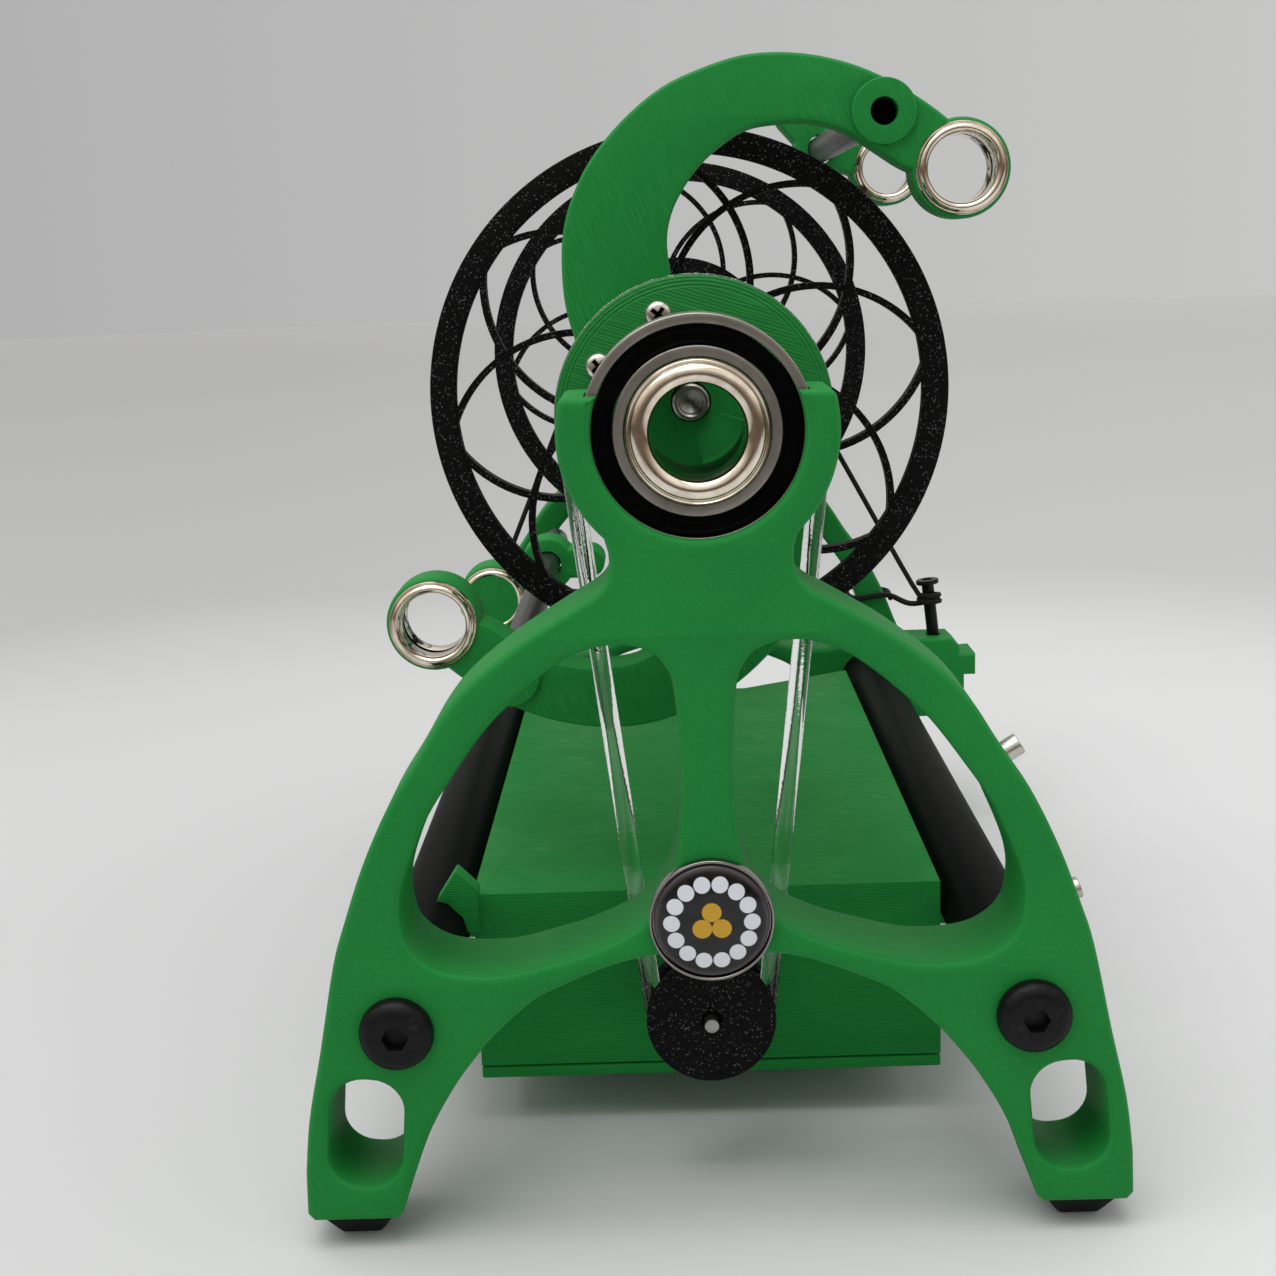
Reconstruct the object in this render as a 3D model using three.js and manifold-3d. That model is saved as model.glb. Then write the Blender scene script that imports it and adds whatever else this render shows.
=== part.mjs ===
import * as THREE from 'three';
import { mergeVertices } from 'three/addons/utils/BufferGeometryUtils.js';
import Module from 'manifold-3d';

// Electric spinning wheel with a printed frame, in millimetres, +Z up, orifice facing -Y.
// Sizes are set around the flyer's axis, which runs along Y: y is 0 at the front bearing's
// face and z is 0 on the axis. The whole is moved at the end so that it stands on z = 0.

// Shared clearances
const GAP = 0.3;
const RUN_GAP = 0.5;
const CUT_OVER = 2;

// Flyer axis above the floor
const PLATE_DROP = 114.4;
const FOOT_HEIGHT = 4.6;

// Front bearing
const BEARING_R = 16;
const BEARING_BORE_R = 10;
const BEARING_WIDTH = 7;
const INNER_RING_R = 11.66;
const SEAL_R = 14.55;
const SEAL_RECESS = 0.4;

// Frame plates
const FOOT_HALF = 60.8;
const PLATE_THICK = 16.4;
const PLATE_EDGE = 1.1;
const FRONT_LIP = 1.6;
const HEAD_R = 19.4;
const HORN_RISE = 5.3;
const HORN_TOP_R = 1.4;
const HEAD_LEAN = 2;
const FRONT_NOTCH_R = 14.6;

// Foot slots through the plates
const SLOT_OUT = 51.3;
const SLOT_DROP_SHARE = 0.8802;
const SLOT_DROP = SLOT_DROP_SHARE * PLATE_DROP;
const SLOT_WIDE = 10.8;
const SLOT_TALL = 16.6;
const SLOT_ROUND = 4.9;
const SLOT_LEAN = 5;

// Frame tubes and their bolts
const TUBE_OUT = 45.8;
const TUBE_DROP_SHARE = 0.7413;
const TUBE_DROP = TUBE_DROP_SHARE * PLATE_DROP;
const TUBE_R = 6.5;
const TUBE_SOCKET = 3;
const BOLT_R = 2;
const BOLT_LENGTH = 26;
const BOLT_HEAD_R = 5.4;
const BOLT_HEAD_TALL = 2.7;
const BOLT_HEAD_EDGE = 1.1;
const BOLT_HEX = 3.4;
const BOLT_HEX_DEEP = 1.7;

// Rubber feet
const FOOT_TOP_HALF = 6;
const FOOT_LOW_HALF = 3;
const FOOT_OUT = 53.8;

// Badge and edge pins on the front plate
const BADGE_DROP_SHARE = 0.601;
const BADGE_DROP = BADGE_DROP_SHARE * PLATE_DROP;
const BADGE_R = 8.9;
const BADGE_WALL = 0.8;
const BADGE_CUP_TALL = 1.8;
const BADGE_CROWN = 0.9;
const PIN_R = 1.6;
const PIN_SINK = 4;
const PIN_UP_OUT = 2.3;
const PIN_LOW_OUT = 1.3;

// Flyer: pulley with its hub tube
const HUB_TUBE_R = 9.7;
const HUB_BORE_R = 7.7;
const HUB_PROUD = 0.4;
const HUB_SHOULDER_R = 11.3;
const DISC_FRONT = 22.5;
const DISC_THICK = 7;
const DISC_R = 20.65;
const DISC_EDGE = 0.7;
const BELT_R = 1.5;
const BELT_RUN_R = 19.4;
const GROOVE_FLOOR_SHARE = 0.8;
const GROOVE_MOUTH_SHARE = 1.6;

// Orifice eyelet
const ORIFICE_R = 6.64;
const ORIFICE_FLANGE_R = 9.95;
const ORIFICE_DEEP = 9;
const EYELET_WALL = 0.7;
const EYELET_LIP = 1.2;

// Flyer: arms, struts, rings and rods
const FLYER_TURN = 38.9;
const ARM_FRONT = 51.5;
const ARM_THICK = 8.5;
const ARM_EDGE = 0.9;
const ARM_HUB_R = 19.6;
const RING_REACH = 56.4;
const RING_SOCKET_R = 7.9;
const RING_R = 5.4;
const RING_FLANGE_R = 7.3;
const RING_DEEP = 3.4;
const STRUT_IN_R = 9.4;
const STRUT_HALF = 31;
const SCREW_RING_R = 15.9;
const SCREW_HALF = 21.2;
const SCREW_R = 1;
const SCREW_HEAD_R = 1.9;
const SCREW_HEAD_TALL = 1.1;
const SCREW_LENGTH = 16;
const ROD_TURN = 15.7;
const ROD_REACH = 54.6;
const ROD_R = 2.8;
const ROD_BORE_R = 2.2;
const BOSS_R = 5.15;
const BOSS_RISE = 1.2;
const ROD_SEAT = 7;
const ROD_END = 203;

// Flyer shaft, rear bearing and collar
const SHAFT_R = 3;
const SHAFT_LEAD = 1.5;
const REAR_BEARING_R = 9.5;
const REAR_BEARING_WIDTH = 6;
const REAR_RING_R = 4.7;
const REAR_NOTCH_R = 8.2;
const REAR_HEAD_R = 15.6;
const REAR_HORN_RISE = 3.6;
const COLLAR_R = 5.6;
const COLLAR_THICK = 2.2;

// Bobbin
const BOBBIN_FRONT = 69.5;
const BOBBIN_REAR = 202;
const FLANGE_R = 44.5;
const FLANGE_THICK = 3;
const RIM_SHARE = 0.9;
const LACE_SHARE = 0.511;
const LACE_REACH_SHARE = 0.506;
const LACE_WIDE = 1.15;
const LACE_TURN = 31.5;
const LACE_COUNT = 8;
const CORE_R = 9.5;
const CORE_WALL = 2;
const BOBBIN_HUB_R = 11;
const SPIGOT_LONG = 6;
const NOSE_R = 8.4;
const WHORL_R = 22.3;
const WHORL_GROOVE_R = 20;
const WHORL_LONG = 8;
const WHORL_RIM = 1.5;

// Sliding guides on the rods
const GUIDE_AT = 165;
const GUIDE_LONG = 10;
const GUIDE_R = 6;
const GUIDE_REACH = 14.8;
const GUIDE_ARM_WIDE = 7;
const GUIDE_UPPER_TURN = -57;
const GUIDE_LOWER_TURN = 172;
const GUIDE_TAB_TURN = 150;
const GUIDE_TAB_REACH = 9.5;
const GUIDE_TAB_R = 3.4;

// Rear plate and brake
const REAR_FRONT = 216;
const REAR_THICK = 15;
const REAR_SLUMP_SHARE = 0.022;
const CORD_R = 0.7;
const CORD_PITCH = 1.5;
const CORD_WRAP = 600;
const CORD_SLACK = 3;
const POST_OUT = 47.9;
const POST_DROP_SHARE = 0.507;
const POST_DROP = POST_DROP_SHARE * PLATE_DROP;
const POST_R = 4.9;
const POST_HOLE_R = 1.6;
const BLOCK_IN = 50.4;
const BLOCK_OUT = 67;
const BLOCK_WIDER = 68.2;
const BLOCK_OVER_TUBE = 12.4;
const BLOCK_TOP = TUBE_DROP - BLOCK_OVER_TUBE;
const BLOCK_CAP_TALL = 4.2;
const BLOCK_CORNER = 1.8;
const BLOCK_UNDER_TUBE = 7.2;
const BLOCK_LOW = TUBE_DROP + BLOCK_UNDER_TUBE;
const BLOCK_FRONT = 202.5;
const TAB_OUT = 71;
const TAB_OVER_TUBE = 3.2;
const TAB_TALL = 5.2;
const TAB_LOW = TUBE_DROP - TAB_OVER_TUBE;
const TAB_TOP = TAB_LOW - TAB_TALL;
const PEG_OUT = 61.4;
const PEG_LEAN = 6;
const PEG_R = 1.5;
const PEG_RISE = 12.9;
const PEG_SINK = 9;
const PEG_HEAD_R = 2.8;
const PEG_HEAD_TALL = 1.2;
const TIE_DROP_SHARE = 0.552;
const TIE_DROP = TIE_DROP_SHARE * PLATE_DROP;

// Base between the tubes
const DECK_OVER_TUBE = 6;
const DECK_DROP = TUBE_DROP - DECK_OVER_TUBE;
const BASE_HALF = 38.5;
const BASE_FRONT = 40;
const BASE_BACK = 199.5;
const BASE_NOTCH = 183.6;
const NOTCH_HALF = 13;
const BASE_TALL = 30.2;
const BASE_LOW = DECK_DROP + BASE_TALL;
const BASE_WALL = 2.6;
const DECK_THICK = 3;
const COVER_THICK = 2;
const SADDLE_LONG = 12;
const SADDLE_REACH = TUBE_OUT + TUBE_R;
const SADDLE_WALL = 3;
const SADDLE_FRONT_AT = 62;
const SADDLE_REAR_AT = 176;
const LIP_TALL = 2;
const LIP_WALL = 1.6;
const POST_WIDE = 8;
const FIN_FRONT = 36.4;
const FIN_RISE = 5.2;
const FIN_SHOULDER = 2;
const FIN_WIDE = 5.9;
const FIN_OUT = BASE_HALF + FIN_WIDE;
const FIN_SLOPE = 2.3;
const FIN_PEAK = BASE_HALF + FIN_SLOPE;
const FIN_TUCK = 1.2;
const FIN_IN = BASE_HALF - FIN_TUCK;

// Motor with its pulley
const MOTOR_R = 12;
const MOTOR_ROOM = 0.7;
const MOTOR_DROP = DECK_DROP + DECK_THICK + MOTOR_ROOM + MOTOR_R;
const MOTOR_LONG = 44;
const MOTOR_BOSS_R = 5;
const MOTOR_SHAFT_R = 1.15;
const MOTOR_SHAFT_TIP = 19.8;
const MOTOR_PULLEY_RUN_R = 8.8;
const MOTOR_PULLEY_R = 10.2;
const MOTOR_PULLEY_LONG = 8;
const MOTOR_HUB_R = 5;
const MOTOR_HUB_LONG = 5;
const MOTOR_CAP = 1.2;

// Controls and electronics in the base
const BOARD_FRONT = 104;
const BOARD_LONG = 58;
const BOARD_WIDE = 44;
const BOARD_THICK = 1.6;
const BOARD_LIFT = 4;
const CHIP_WIDE = 14;
const CHIP_TALL = 3;
const CAN_R = 4;
const CAN_TALL = 9;
const KNOB_UNDER_DECK = 16.2;
const KNOB_DROP = DECK_DROP + KNOB_UNDER_DECK;
const POT_WIDE = 17;
const POT_LONG = 8;
const POT_BUSH_R = 3.5;
const POT_BUSH_LONG = 5;
const POT_SHAFT_R = 2.6;
const KNOB_R = 7.5;
const KNOB_LONG = 11;
const KNOB_FLATS = 12;
const KNOB_LINE = 1;
const JACK_AT = 140;
const SIDE_UNDER_DECK = 21.6;
const SIDE_DROP = DECK_DROP + SIDE_UNDER_DECK;
const JACK_R = 4;
const JACK_BORE_R = 2.8;
const JACK_FLANGE_R = 5.4;
const JACK_FLANGE_TALL = 1.2;
const JACK_LONG = 11;
const JACK_PIN_R = 0.9;
const ROCKER_LONG = 15;
const ROCKER_TALL = 9;
const ROCKER_BEZEL = 1.6;
const ROCKER_BEZEL_TALL = 1;
const ROCKER_DEEP = 9;
const ROCKER_WALL = 1.2;
const ROCKER_PIVOT_R = 1;
const ROCKER_CROWN = 1.7;
const ROCKER_DIP = 0.9;
const ROCKER_TUCK = 2.4;
const ROCKER_TILT = 8;

// Faceting
const FINE = 32;
const ROUND = 20;
const SMALL = 12;
const TINY = 8;

// Outline tables, as shares of the half foot width and of the axis height over the plate's foot
const SIDE_SHARES = [
  [0.210, -0.140], [0.209, -0.157], [0.219, -0.177], [0.247, -0.192], [0.293, -0.206],
  [0.362, -0.228], [0.436, -0.253], [0.543, -0.297], [0.610, -0.337], [0.674, -0.392],
  [0.745, -0.450], [0.812, -0.524], [0.865, -0.600], [0.898, -0.656], [0.942, -0.769],
  [0.980, -0.861], [0.997, -0.935], [1.000, -0.990], [0.984, -1.000],
];
const ARCH_SHARES = [
  [0.780, -1.000], [0.766, -0.991], [0.724, -0.927], [0.683, -0.874], [0.625, -0.821],
  [0.569, -0.781], [0.521, -0.752], [0.428, -0.708], [0.354, -0.688], [0.252, -0.666],
  [0.171, -0.655], [0.082, -0.649],
];
const WINDOW_SHARES = [
  [0.072, -0.311], [0.084, -0.288], [0.112, -0.268], [0.158, -0.257], [0.215, -0.254],
  [0.285, -0.262], [0.352, -0.281], [0.433, -0.316], [0.515, -0.359], [0.599, -0.420],
  [0.650, -0.461], [0.678, -0.493], [0.706, -0.529], [0.724, -0.559], [0.730, -0.590],
  [0.717, -0.628], [0.679, -0.652], [0.625, -0.666], [0.549, -0.671], [0.470, -0.669],
  [0.375, -0.657], [0.281, -0.642], [0.191, -0.620], [0.138, -0.596], [0.099, -0.564],
  [0.076, -0.524], [0.064, -0.455], [0.062, -0.385],
];
// The shoulders that the rear plate carries lower than the front one
const SLUMP_FROM_SHARE = 0.24;
const SLUMP_TO_SHARE = 0.95;
const SLUMP_ABOVE_SHARE = -0.62;
// The arm's edges, as degrees from the ring and shares of the ring's reach
const ARM_OUTER_SHARES = [
  [118.0, 0.335], [110.7, 0.381], [103.0, 0.443], [95.5, 0.509], [87.6, 0.590],
  [80.6, 0.658], [72.7, 0.730], [63.7, 0.805], [55.1, 0.876], [47.9, 0.924],
  [41.3, 0.968], [35.1, 0.998], [28.9, 1.021], [22.5, 1.039], [16.0, 1.051],
  [9.0, 1.062], [3.0, 1.069],
];
const ARM_INNER_SHARES = [
  [1.5, 0.922], [7.0, 0.885], [13.9, 0.872], [19.9, 0.867], [25.9, 0.848],
  [31.7, 0.816], [37.6, 0.778], [42.9, 0.718], [48.2, 0.649], [53.7, 0.562],
  [57.1, 0.488], [58.3, 0.422], [58.0, 0.335],
];
// Where the two edge pins sit on the front plate's right edge
const PIN_UP_SHARES = [0.71, -0.419];
const PIN_LOW_SHARES = [0.868, -0.604];
const PIN_UP_TURN = 32;
const PIN_LOW_TURN = 19;

// Derived places
const PLATE_FRONT = -FRONT_LIP;
const PLATE_BACK = PLATE_FRONT + PLATE_THICK;
const PLATE_MID = (PLATE_FRONT + PLATE_BACK) / 2;
const REAR_BACK = REAR_FRONT + REAR_THICK;
const REAR_MID = (REAR_FRONT + REAR_BACK) / 2;
const DISC_BACK = DISC_FRONT + DISC_THICK;
const BELT_AT = (DISC_FRONT + DISC_BACK) / 2;
const ARM_BACK = ARM_FRONT + ARM_THICK;
const ARM_MID = (ARM_FRONT + ARM_BACK) / 2;
const REAR_SEAT_FRONT = REAR_FRONT + FRONT_LIP;
const WHORL_BACK = BOBBIN_REAR + FLANGE_THICK + WHORL_LONG;
const BRAKE_AT = WHORL_BACK - WHORL_LONG / 2;
const COLLAR_FRONT = WHORL_BACK + RUN_GAP;
const COVER_TOP = -BASE_LOW - GAP;
const COVER_BOTTOM = COVER_TOP - COVER_THICK;

const wasm = await Module();
wasm.setup();

// Closed solid from a three.js geometry, with its faces turned outward
function solid(geometry) {
  const bare = geometry.clone();
  bare.deleteAttribute('normal');
  bare.deleteAttribute('uv');
  const merged = mergeVertices(bare);
  const spots = merged.attributes.position.array;
  const index = merged.index.array;
  const corners = [];
  let volume = 0;
  for (let i = 0; i < index.length; i += 3) {
    const a = index[i];
    const b = index[i + 1];
    const c = index[i + 2];
    if (a === b || b === c || c === a) continue;
    corners.push(a, b, c);
    const p = new THREE.Vector3().fromArray(spots, a * 3);
    const q = new THREE.Vector3().fromArray(spots, b * 3);
    const r = new THREE.Vector3().fromArray(spots, c * 3);
    volume += p.dot(q.cross(r));
  }
  if (volume < 0) corners.reverse();
  const mesh = new wasm.Mesh({
    numProp: 3,
    vertProperties: new Float32Array(spots),
    triVerts: new Uint32Array(corners),
  });
  return new wasm.Manifold(mesh);
}

function joined(...parts) {
  return parts.reduce((whole, part) => whole.add(part));
}

function cut(body, ...tools) {
  return tools.reduce((left, tool) => left.subtract(tool), body);
}

function geometryOf(body) {
  const mesh = body.getMesh();
  const geometry = new THREE.BufferGeometry();
  geometry.setAttribute('position', new THREE.BufferAttribute(mesh.vertProperties, 3));
  geometry.setIndex(new THREE.BufferAttribute(mesh.triVerts, 1));
  geometry.computeVertexNormals();
  return geometry;
}

// Turned along Y from [radius, y] points, at x and z
function turned(points, steps, x = 0, z = 0) {
  const profile = points.map(([r, y]) => new THREE.Vector2(r, y));
  return solid(new THREE.LatheGeometry(profile, steps).translate(x, 0, z));
}

function rod(r, y0, y1, steps, x = 0, z = 0) {
  return turned([[0, y0], [r, y0], [r, y1], [0, y1]], steps, x, z);
}

function tube(outer, inner, y0, y1, steps, x = 0, z = 0) {
  const points = [[inner, y0], [outer, y0], [outer, y1], [inner, y1], [inner, y0]];
  return turned(points, steps, x, z);
}

// Turned along Z from [radius, z] points, at x and y
function stood(points, steps, x = 0, y = 0) {
  const profile = points.map(([r, z]) => new THREE.Vector2(r, z));
  const geometry = new THREE.LatheGeometry(profile, steps);
  geometry.rotateX(Math.PI / 2);
  return solid(geometry.translate(x, y, 0));
}

function pillar(r, z0, z1, steps, x = 0, y = 0) {
  return stood([[0, z0], [r, z0], [r, z1], [0, z1]], steps, x, y);
}

// Square rubber bumper under the plates, narrower at the floor
function bumper(x, y) {
  const low = -PLATE_DROP - FOOT_HEIGHT;
  const ends = [[FOOT_LOW_HALF, low], [FOOT_TOP_HALF, -PLATE_DROP]];
  const corners = ends.flatMap(([half, z]) => [[-1, -1], [1, -1], [1, 1], [-1, 1]].map(
    ([a, b]) => [x + a * half, y + b * half, z],
  ));
  return wasm.Manifold.hull(corners);
}

// Turned along X from [radius, x] points, at y and z
function laid(points, steps, y = 0, z = 0) {
  const profile = points.map(([r, x]) => new THREE.Vector2(r, x));
  const geometry = new THREE.LatheGeometry(profile, steps);
  geometry.rotateZ(-Math.PI / 2);
  return solid(geometry.translate(0, y, z));
}

function bar(r, x0, x1, steps, y, z) {
  return laid([[0, x0], [r, x0], [r, x1], [0, x1]], steps, y, z);
}

function box(x0, x1, y0, y1, z0, z1) {
  const geometry = new THREE.BoxGeometry(x1 - x0, y1 - y0, z1 - z0);
  return solid(geometry.translate((x0 + x1) / 2, (y0 + y1) / 2, (z0 + z1) / 2));
}

// Extruded along Y from an outline in x and z, with chamfered edges if asked
function slab(shape, y0, y1, edge = 0) {
  const geometry = new THREE.ExtrudeGeometry(shape, {
    depth: y1 - y0 - 2 * edge,
    bevelEnabled: edge > 0,
    bevelThickness: edge,
    bevelSize: edge,
    bevelOffset: -edge,
    bevelSegments: 1,
    curveSegments: TINY,
  });
  geometry.rotateX(Math.PI / 2);
  return solid(geometry.translate(0, y1 - edge, 0));
}

// Extruded along Z from an outline in x and y
function plan(shape, z0, z1) {
  const geometry = new THREE.ExtrudeGeometry(shape, { depth: z1 - z0, bevelEnabled: false });
  return solid(geometry.translate(0, 0, z0));
}

function outline(points) {
  return new THREE.Shape(points.map(([x, z]) => new THREE.Vector2(x, z)));
}

// Adds a hole, run round the other way than the outline
function pierce(shape, points) {
  const rim = points.map(([x, z]) => new THREE.Vector2(x, z));
  const sameWay = THREE.ShapeUtils.isClockWise(rim) === THREE.ShapeUtils.isClockWise(shape.getPoints());
  shape.holes.push(new THREE.Path(sameWay ? rim.reverse() : rim));
}

function smoothed(points, count) {
  const path = new THREE.SplineCurve(points.map(([x, z]) => new THREE.Vector2(x, z)));
  return path.getPoints(count).map((p) => [p.x, p.y]);
}

function arcPoints(x, z, r, from, to, steps) {
  const points = [];
  for (let i = 0; i <= steps; i += 1) {
    const turn = THREE.MathUtils.degToRad(from + ((to - from) * i) / steps);
    points.push([x + r * Math.cos(turn), z + r * Math.sin(turn)]);
  }
  return points;
}

function mirrored(points) {
  return points.map(([x, z]) => [-x, z]).reverse();
}

function polar(turn, r) {
  const angle = THREE.MathUtils.degToRad(turn);
  return [r * Math.cos(angle), r * Math.sin(angle)];
}

function swung(body, turn) {
  const geometry = geometryOf(body);
  geometry.rotateY(THREE.MathUtils.degToRad(-turn));
  return solid(geometry);
}

// A shoulder point of a frame plate, lowered on the rear plate
function lowered([x, z], slump) {
  if (x < SLUMP_FROM_SHARE || x > SLUMP_TO_SHARE || z < SLUMP_ABOVE_SHARE) return [x, z];
  const along = (x - SLUMP_FROM_SHARE) / (SLUMP_TO_SHARE - SLUMP_FROM_SHARE);
  return [x, z - slump * Math.sin(Math.PI * along)];
}

function placed(shares, slump) {
  return shares.map((share) => lowered(share, slump)).map(([x, z]) => [x * FOOT_HALF, z * PLATE_DROP]);
}

// Frame plate outline: horned head, neck, shoulders, legs and the arch between them
function plateShape(headR, rise, notchR, slump) {
  const degrees = THREE.MathUtils.radToDeg;
  const side = placed(SIDE_SHARES, slump);
  const topTurn = degrees(Math.asin((rise - HORN_TOP_R) / headR));
  const neckTurn = degrees(Math.asin(side[0][0] / headR)) + HEAD_LEAN;
  const head = arcPoints(0, 0, headR, topTurn, neckTurn - 90, TINY);
  const horn = [[head[0][0] - HORN_TOP_R, rise], ...head];
  const flank = smoothed(side.slice(0, -2), ROUND);
  const arch = placed(ARCH_SHARES, 0);
  const half = [...horn, ...flank, ...side.slice(-2), arch[0], ...smoothed(arch.slice(1), TINY)];
  const notchTurn = degrees(Math.asin(rise / notchR));
  const notch = arcPoints(0, 0, notchR, 180 - notchTurn, 360 + notchTurn, TINY);
  const shape = outline([...half, ...mirrored(half), ...notch]);
  const window = placed([...WINDOW_SHARES, WINDOW_SHARES[0]], slump);
  const opening = smoothed(window, ROUND + 4).slice(1);
  const slot = slotPoints();
  [opening, mirrored(opening), slot, mirrored(slot)].forEach((points) => pierce(shape, points));
  return shape;
}

// Rounded slot through each foot, leaning with the leg
function slotPoints() {
  const dx = SLOT_WIDE / 2 - SLOT_ROUND;
  const dz = SLOT_TALL / 2 - SLOT_ROUND;
  const corners = [[dx, dz, 0], [-dx, dz, 90], [-dx, -dz, 180], [dx, -dz, 270]];
  const lean = THREE.MathUtils.degToRad(SLOT_LEAN);
  return corners
    .flatMap(([x, z, turn]) => arcPoints(x, z, SLOT_ROUND, turn, turn + 90, 2))
    .map(([x, z]) => [
      SLOT_OUT + x * Math.cos(lean) - z * Math.sin(lean),
      -SLOT_DROP + x * Math.sin(lean) + z * Math.cos(lean),
    ]);
}

// Cylinder lying in a plane across the axis, pointing at turn degrees from +X
function spoke(r, from, to, turn, x, y, z) {
  const profile = [[0, from], [r, from], [r, to], [0, to]].map(([a, b]) => new THREE.Vector2(a, b));
  const geometry = new THREE.LatheGeometry(profile, TINY);
  geometry.rotateZ(-Math.PI / 2);
  geometry.rotateY(THREE.MathUtils.degToRad(-turn));
  return solid(geometry.translate(x, y, z));
}

// Turned about the leaning peg's axis from [radius, height] points over its foot on the block
function onPeg(points, steps) {
  const profile = points.map(([r, z]) => new THREE.Vector2(r, z));
  const geometry = new THREE.LatheGeometry(profile, steps);
  geometry.rotateX(Math.PI / 2);
  geometry.rotateY(THREE.MathUtils.degToRad(-PEG_LEAN));
  return solid(geometry.translate(PEG_OUT, BRAKE_AT, -BLOCK_TOP));
}

// Furthest right that a line of points comes at a height
function rightmostAt(points, height) {
  const spots = points.slice(1).flatMap(([x, z], i) => {
    const [nearX, nearZ] = points[i];
    if ((nearZ - height) * (z - height) > 0) return [];
    return [nearX + ((x - nearX) * (height - nearZ)) / (z - nearZ)];
  });
  return Math.max(...spots);
}

// Pin across the plate's edge at a share point, along its outward normal
function edgePin(shares, turn, r, from, to) {
  return spoke(r, from, to, turn, shares[0] * FOOT_HALF, PLATE_MID, shares[1] * PLATE_DROP);
}

// Where a line from a point touches a circle round the axis, above it
function touchTurn(x, z, r) {
  const lean = THREE.MathUtils.radToDeg(Math.acos(r / Math.hypot(x, z)));
  const around = THREE.MathUtils.radToDeg(Math.atan2(z, x));
  return x < 0 ? around + 360 - lean : around + lean;
}

// Belt groove in a rim, as [radius, y] points from front to back
function groove(rim, floor) {
  return [
    [rim, BELT_AT - GROOVE_MOUTH_SHARE * BELT_R], [floor, BELT_AT - GROOVE_FLOOR_SHARE * BELT_R],
    [floor, BELT_AT + GROOVE_FLOOR_SHARE * BELT_R], [rim, BELT_AT + GROOVE_MOUTH_SHARE * BELT_R],
  ];
}

// Round plate with chamfered edges
function disc(r, y0, y1, edge, steps, x = 0, z = 0) {
  const points = [[0, y0], [r - edge, y0], [r, y0 + edge], [r, y1 - edge], [r - edge, y1], [0, y1]];
  return turned(points, steps, x, z);
}

// Pressed eyelet: barrel going in from a face along dir, flange lying on the face
function eyelet(r, flangeR, face, dir, deep, x = 0, z = 0) {
  const lip = face - dir * EYELET_LIP;
  const points = [
    [r, face + dir * deep],
    [r, face],
    [r + EYELET_LIP, lip],
    [flangeR - EYELET_LIP / 2, lip],
    [flangeR, face],
    [r + EYELET_WALL, face],
    [r + EYELET_WALL, face + dir * deep],
    [r, face + dir * deep],
  ];
  return turned(points, r > RING_R ? ROUND : SMALL, x, z);
}

// Flat-headed hex socket bolt along Y, its head on a face and its shank going along dir
function bolt(x, z, face, dir) {
  const top = face - dir * BOLT_HEAD_TALL;
  const points = [
    [0, top],
    [BOLT_HEAD_R - BOLT_HEAD_EDGE, top],
    [BOLT_HEAD_R, top + dir * BOLT_HEAD_EDGE],
    [BOLT_HEAD_R, face],
    [BOLT_R, face],
    [BOLT_R, face + dir * BOLT_LENGTH],
    [0, face + dir * BOLT_LENGTH],
  ];
  const socketEnds = [top - dir * CUT_OVER, top + dir * BOLT_HEX_DEEP].sort((a, b) => a - b);
  const hexR = BOLT_HEX / Math.sqrt(3);
  return cut(turned(points, SMALL, x, z), rod(hexR, socketEnds[0], socketEnds[1], 6, x, z));
}

// Colour, roughness and metalness of each finish
const LOOKS = {
  green: [0x1f8a3c, 0.5, 0],
  black: [0x131414, 0.55, 0],
  rubber: [0x1b1b1b, 0.85, 0],
  satin: [0x2a2b2c, 0.45, 0.3],
  steel: [0xb9b6ae, 0.3, 1],
  nickel: [0xcfc6b6, 0.18, 1],
  oxide: [0x18181a, 0.4, 0.7],
  clear: [0xdfe6df, 0.1, 0],
  dome: [0xf0f0ee, 0.15, 0],
  board: [0x0f4a2a, 0.5, 0],
  brass: [0xb08d4a, 0.35, 1],
};

function piece(group, name, look, body) {
  const [color, roughness, metalness] = LOOKS[look];
  const material = new THREE.MeshStandardMaterial({ color, roughness, metalness });
  const mesh = new THREE.Mesh(geometryOf(body), material);
  mesh.name = name;
  group.add(mesh);
  return mesh;
}

const wheel = new THREE.Group();
const frame = new THREE.Group();
const flyer = new THREE.Group();
flyer.rotation.y = THREE.MathUtils.degToRad(-FLYER_TURN);
wheel.add(frame, flyer);

// Front plate with the open cradle that the bearing snaps into
const tubeHoles = (face, dir) => [-1, 1].flatMap((side) => {
  const shank = [face - dir * CUT_OVER, face + dir * (PLATE_THICK + CUT_OVER)].sort((a, b) => a - b);
  return [rod(BOLT_R + GAP, shank[0], shank[1], TINY, side * TUBE_OUT, -TUBE_DROP)];
});
const frontShape = plateShape(HEAD_R, HORN_RISE, FRONT_NOTCH_R, 0);
let frontPlate = slab(frontShape, PLATE_FRONT, PLATE_BACK, PLATE_EDGE);
frontPlate = cut(
  frontPlate,
  rod(BEARING_R + GAP, -GAP, BEARING_WIDTH + GAP, ROUND),
  ...tubeHoles(PLATE_FRONT, 1),
  ...[-1, 1].map((side) => rod(
    TUBE_R + GAP, PLATE_BACK - TUBE_SOCKET, PLATE_BACK + CUT_OVER, SMALL, side * TUBE_OUT, -TUBE_DROP,
  )),
  edgePin(PIN_UP_SHARES, PIN_UP_TURN, PIN_R + GAP, -PIN_SINK - GAP, CUT_OVER),
  edgePin(PIN_LOW_SHARES, PIN_LOW_TURN, PIN_R + GAP, -PIN_SINK - GAP, CUT_OVER),
);
piece(frame, 'front_plate', 'green', frontPlate);
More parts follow.
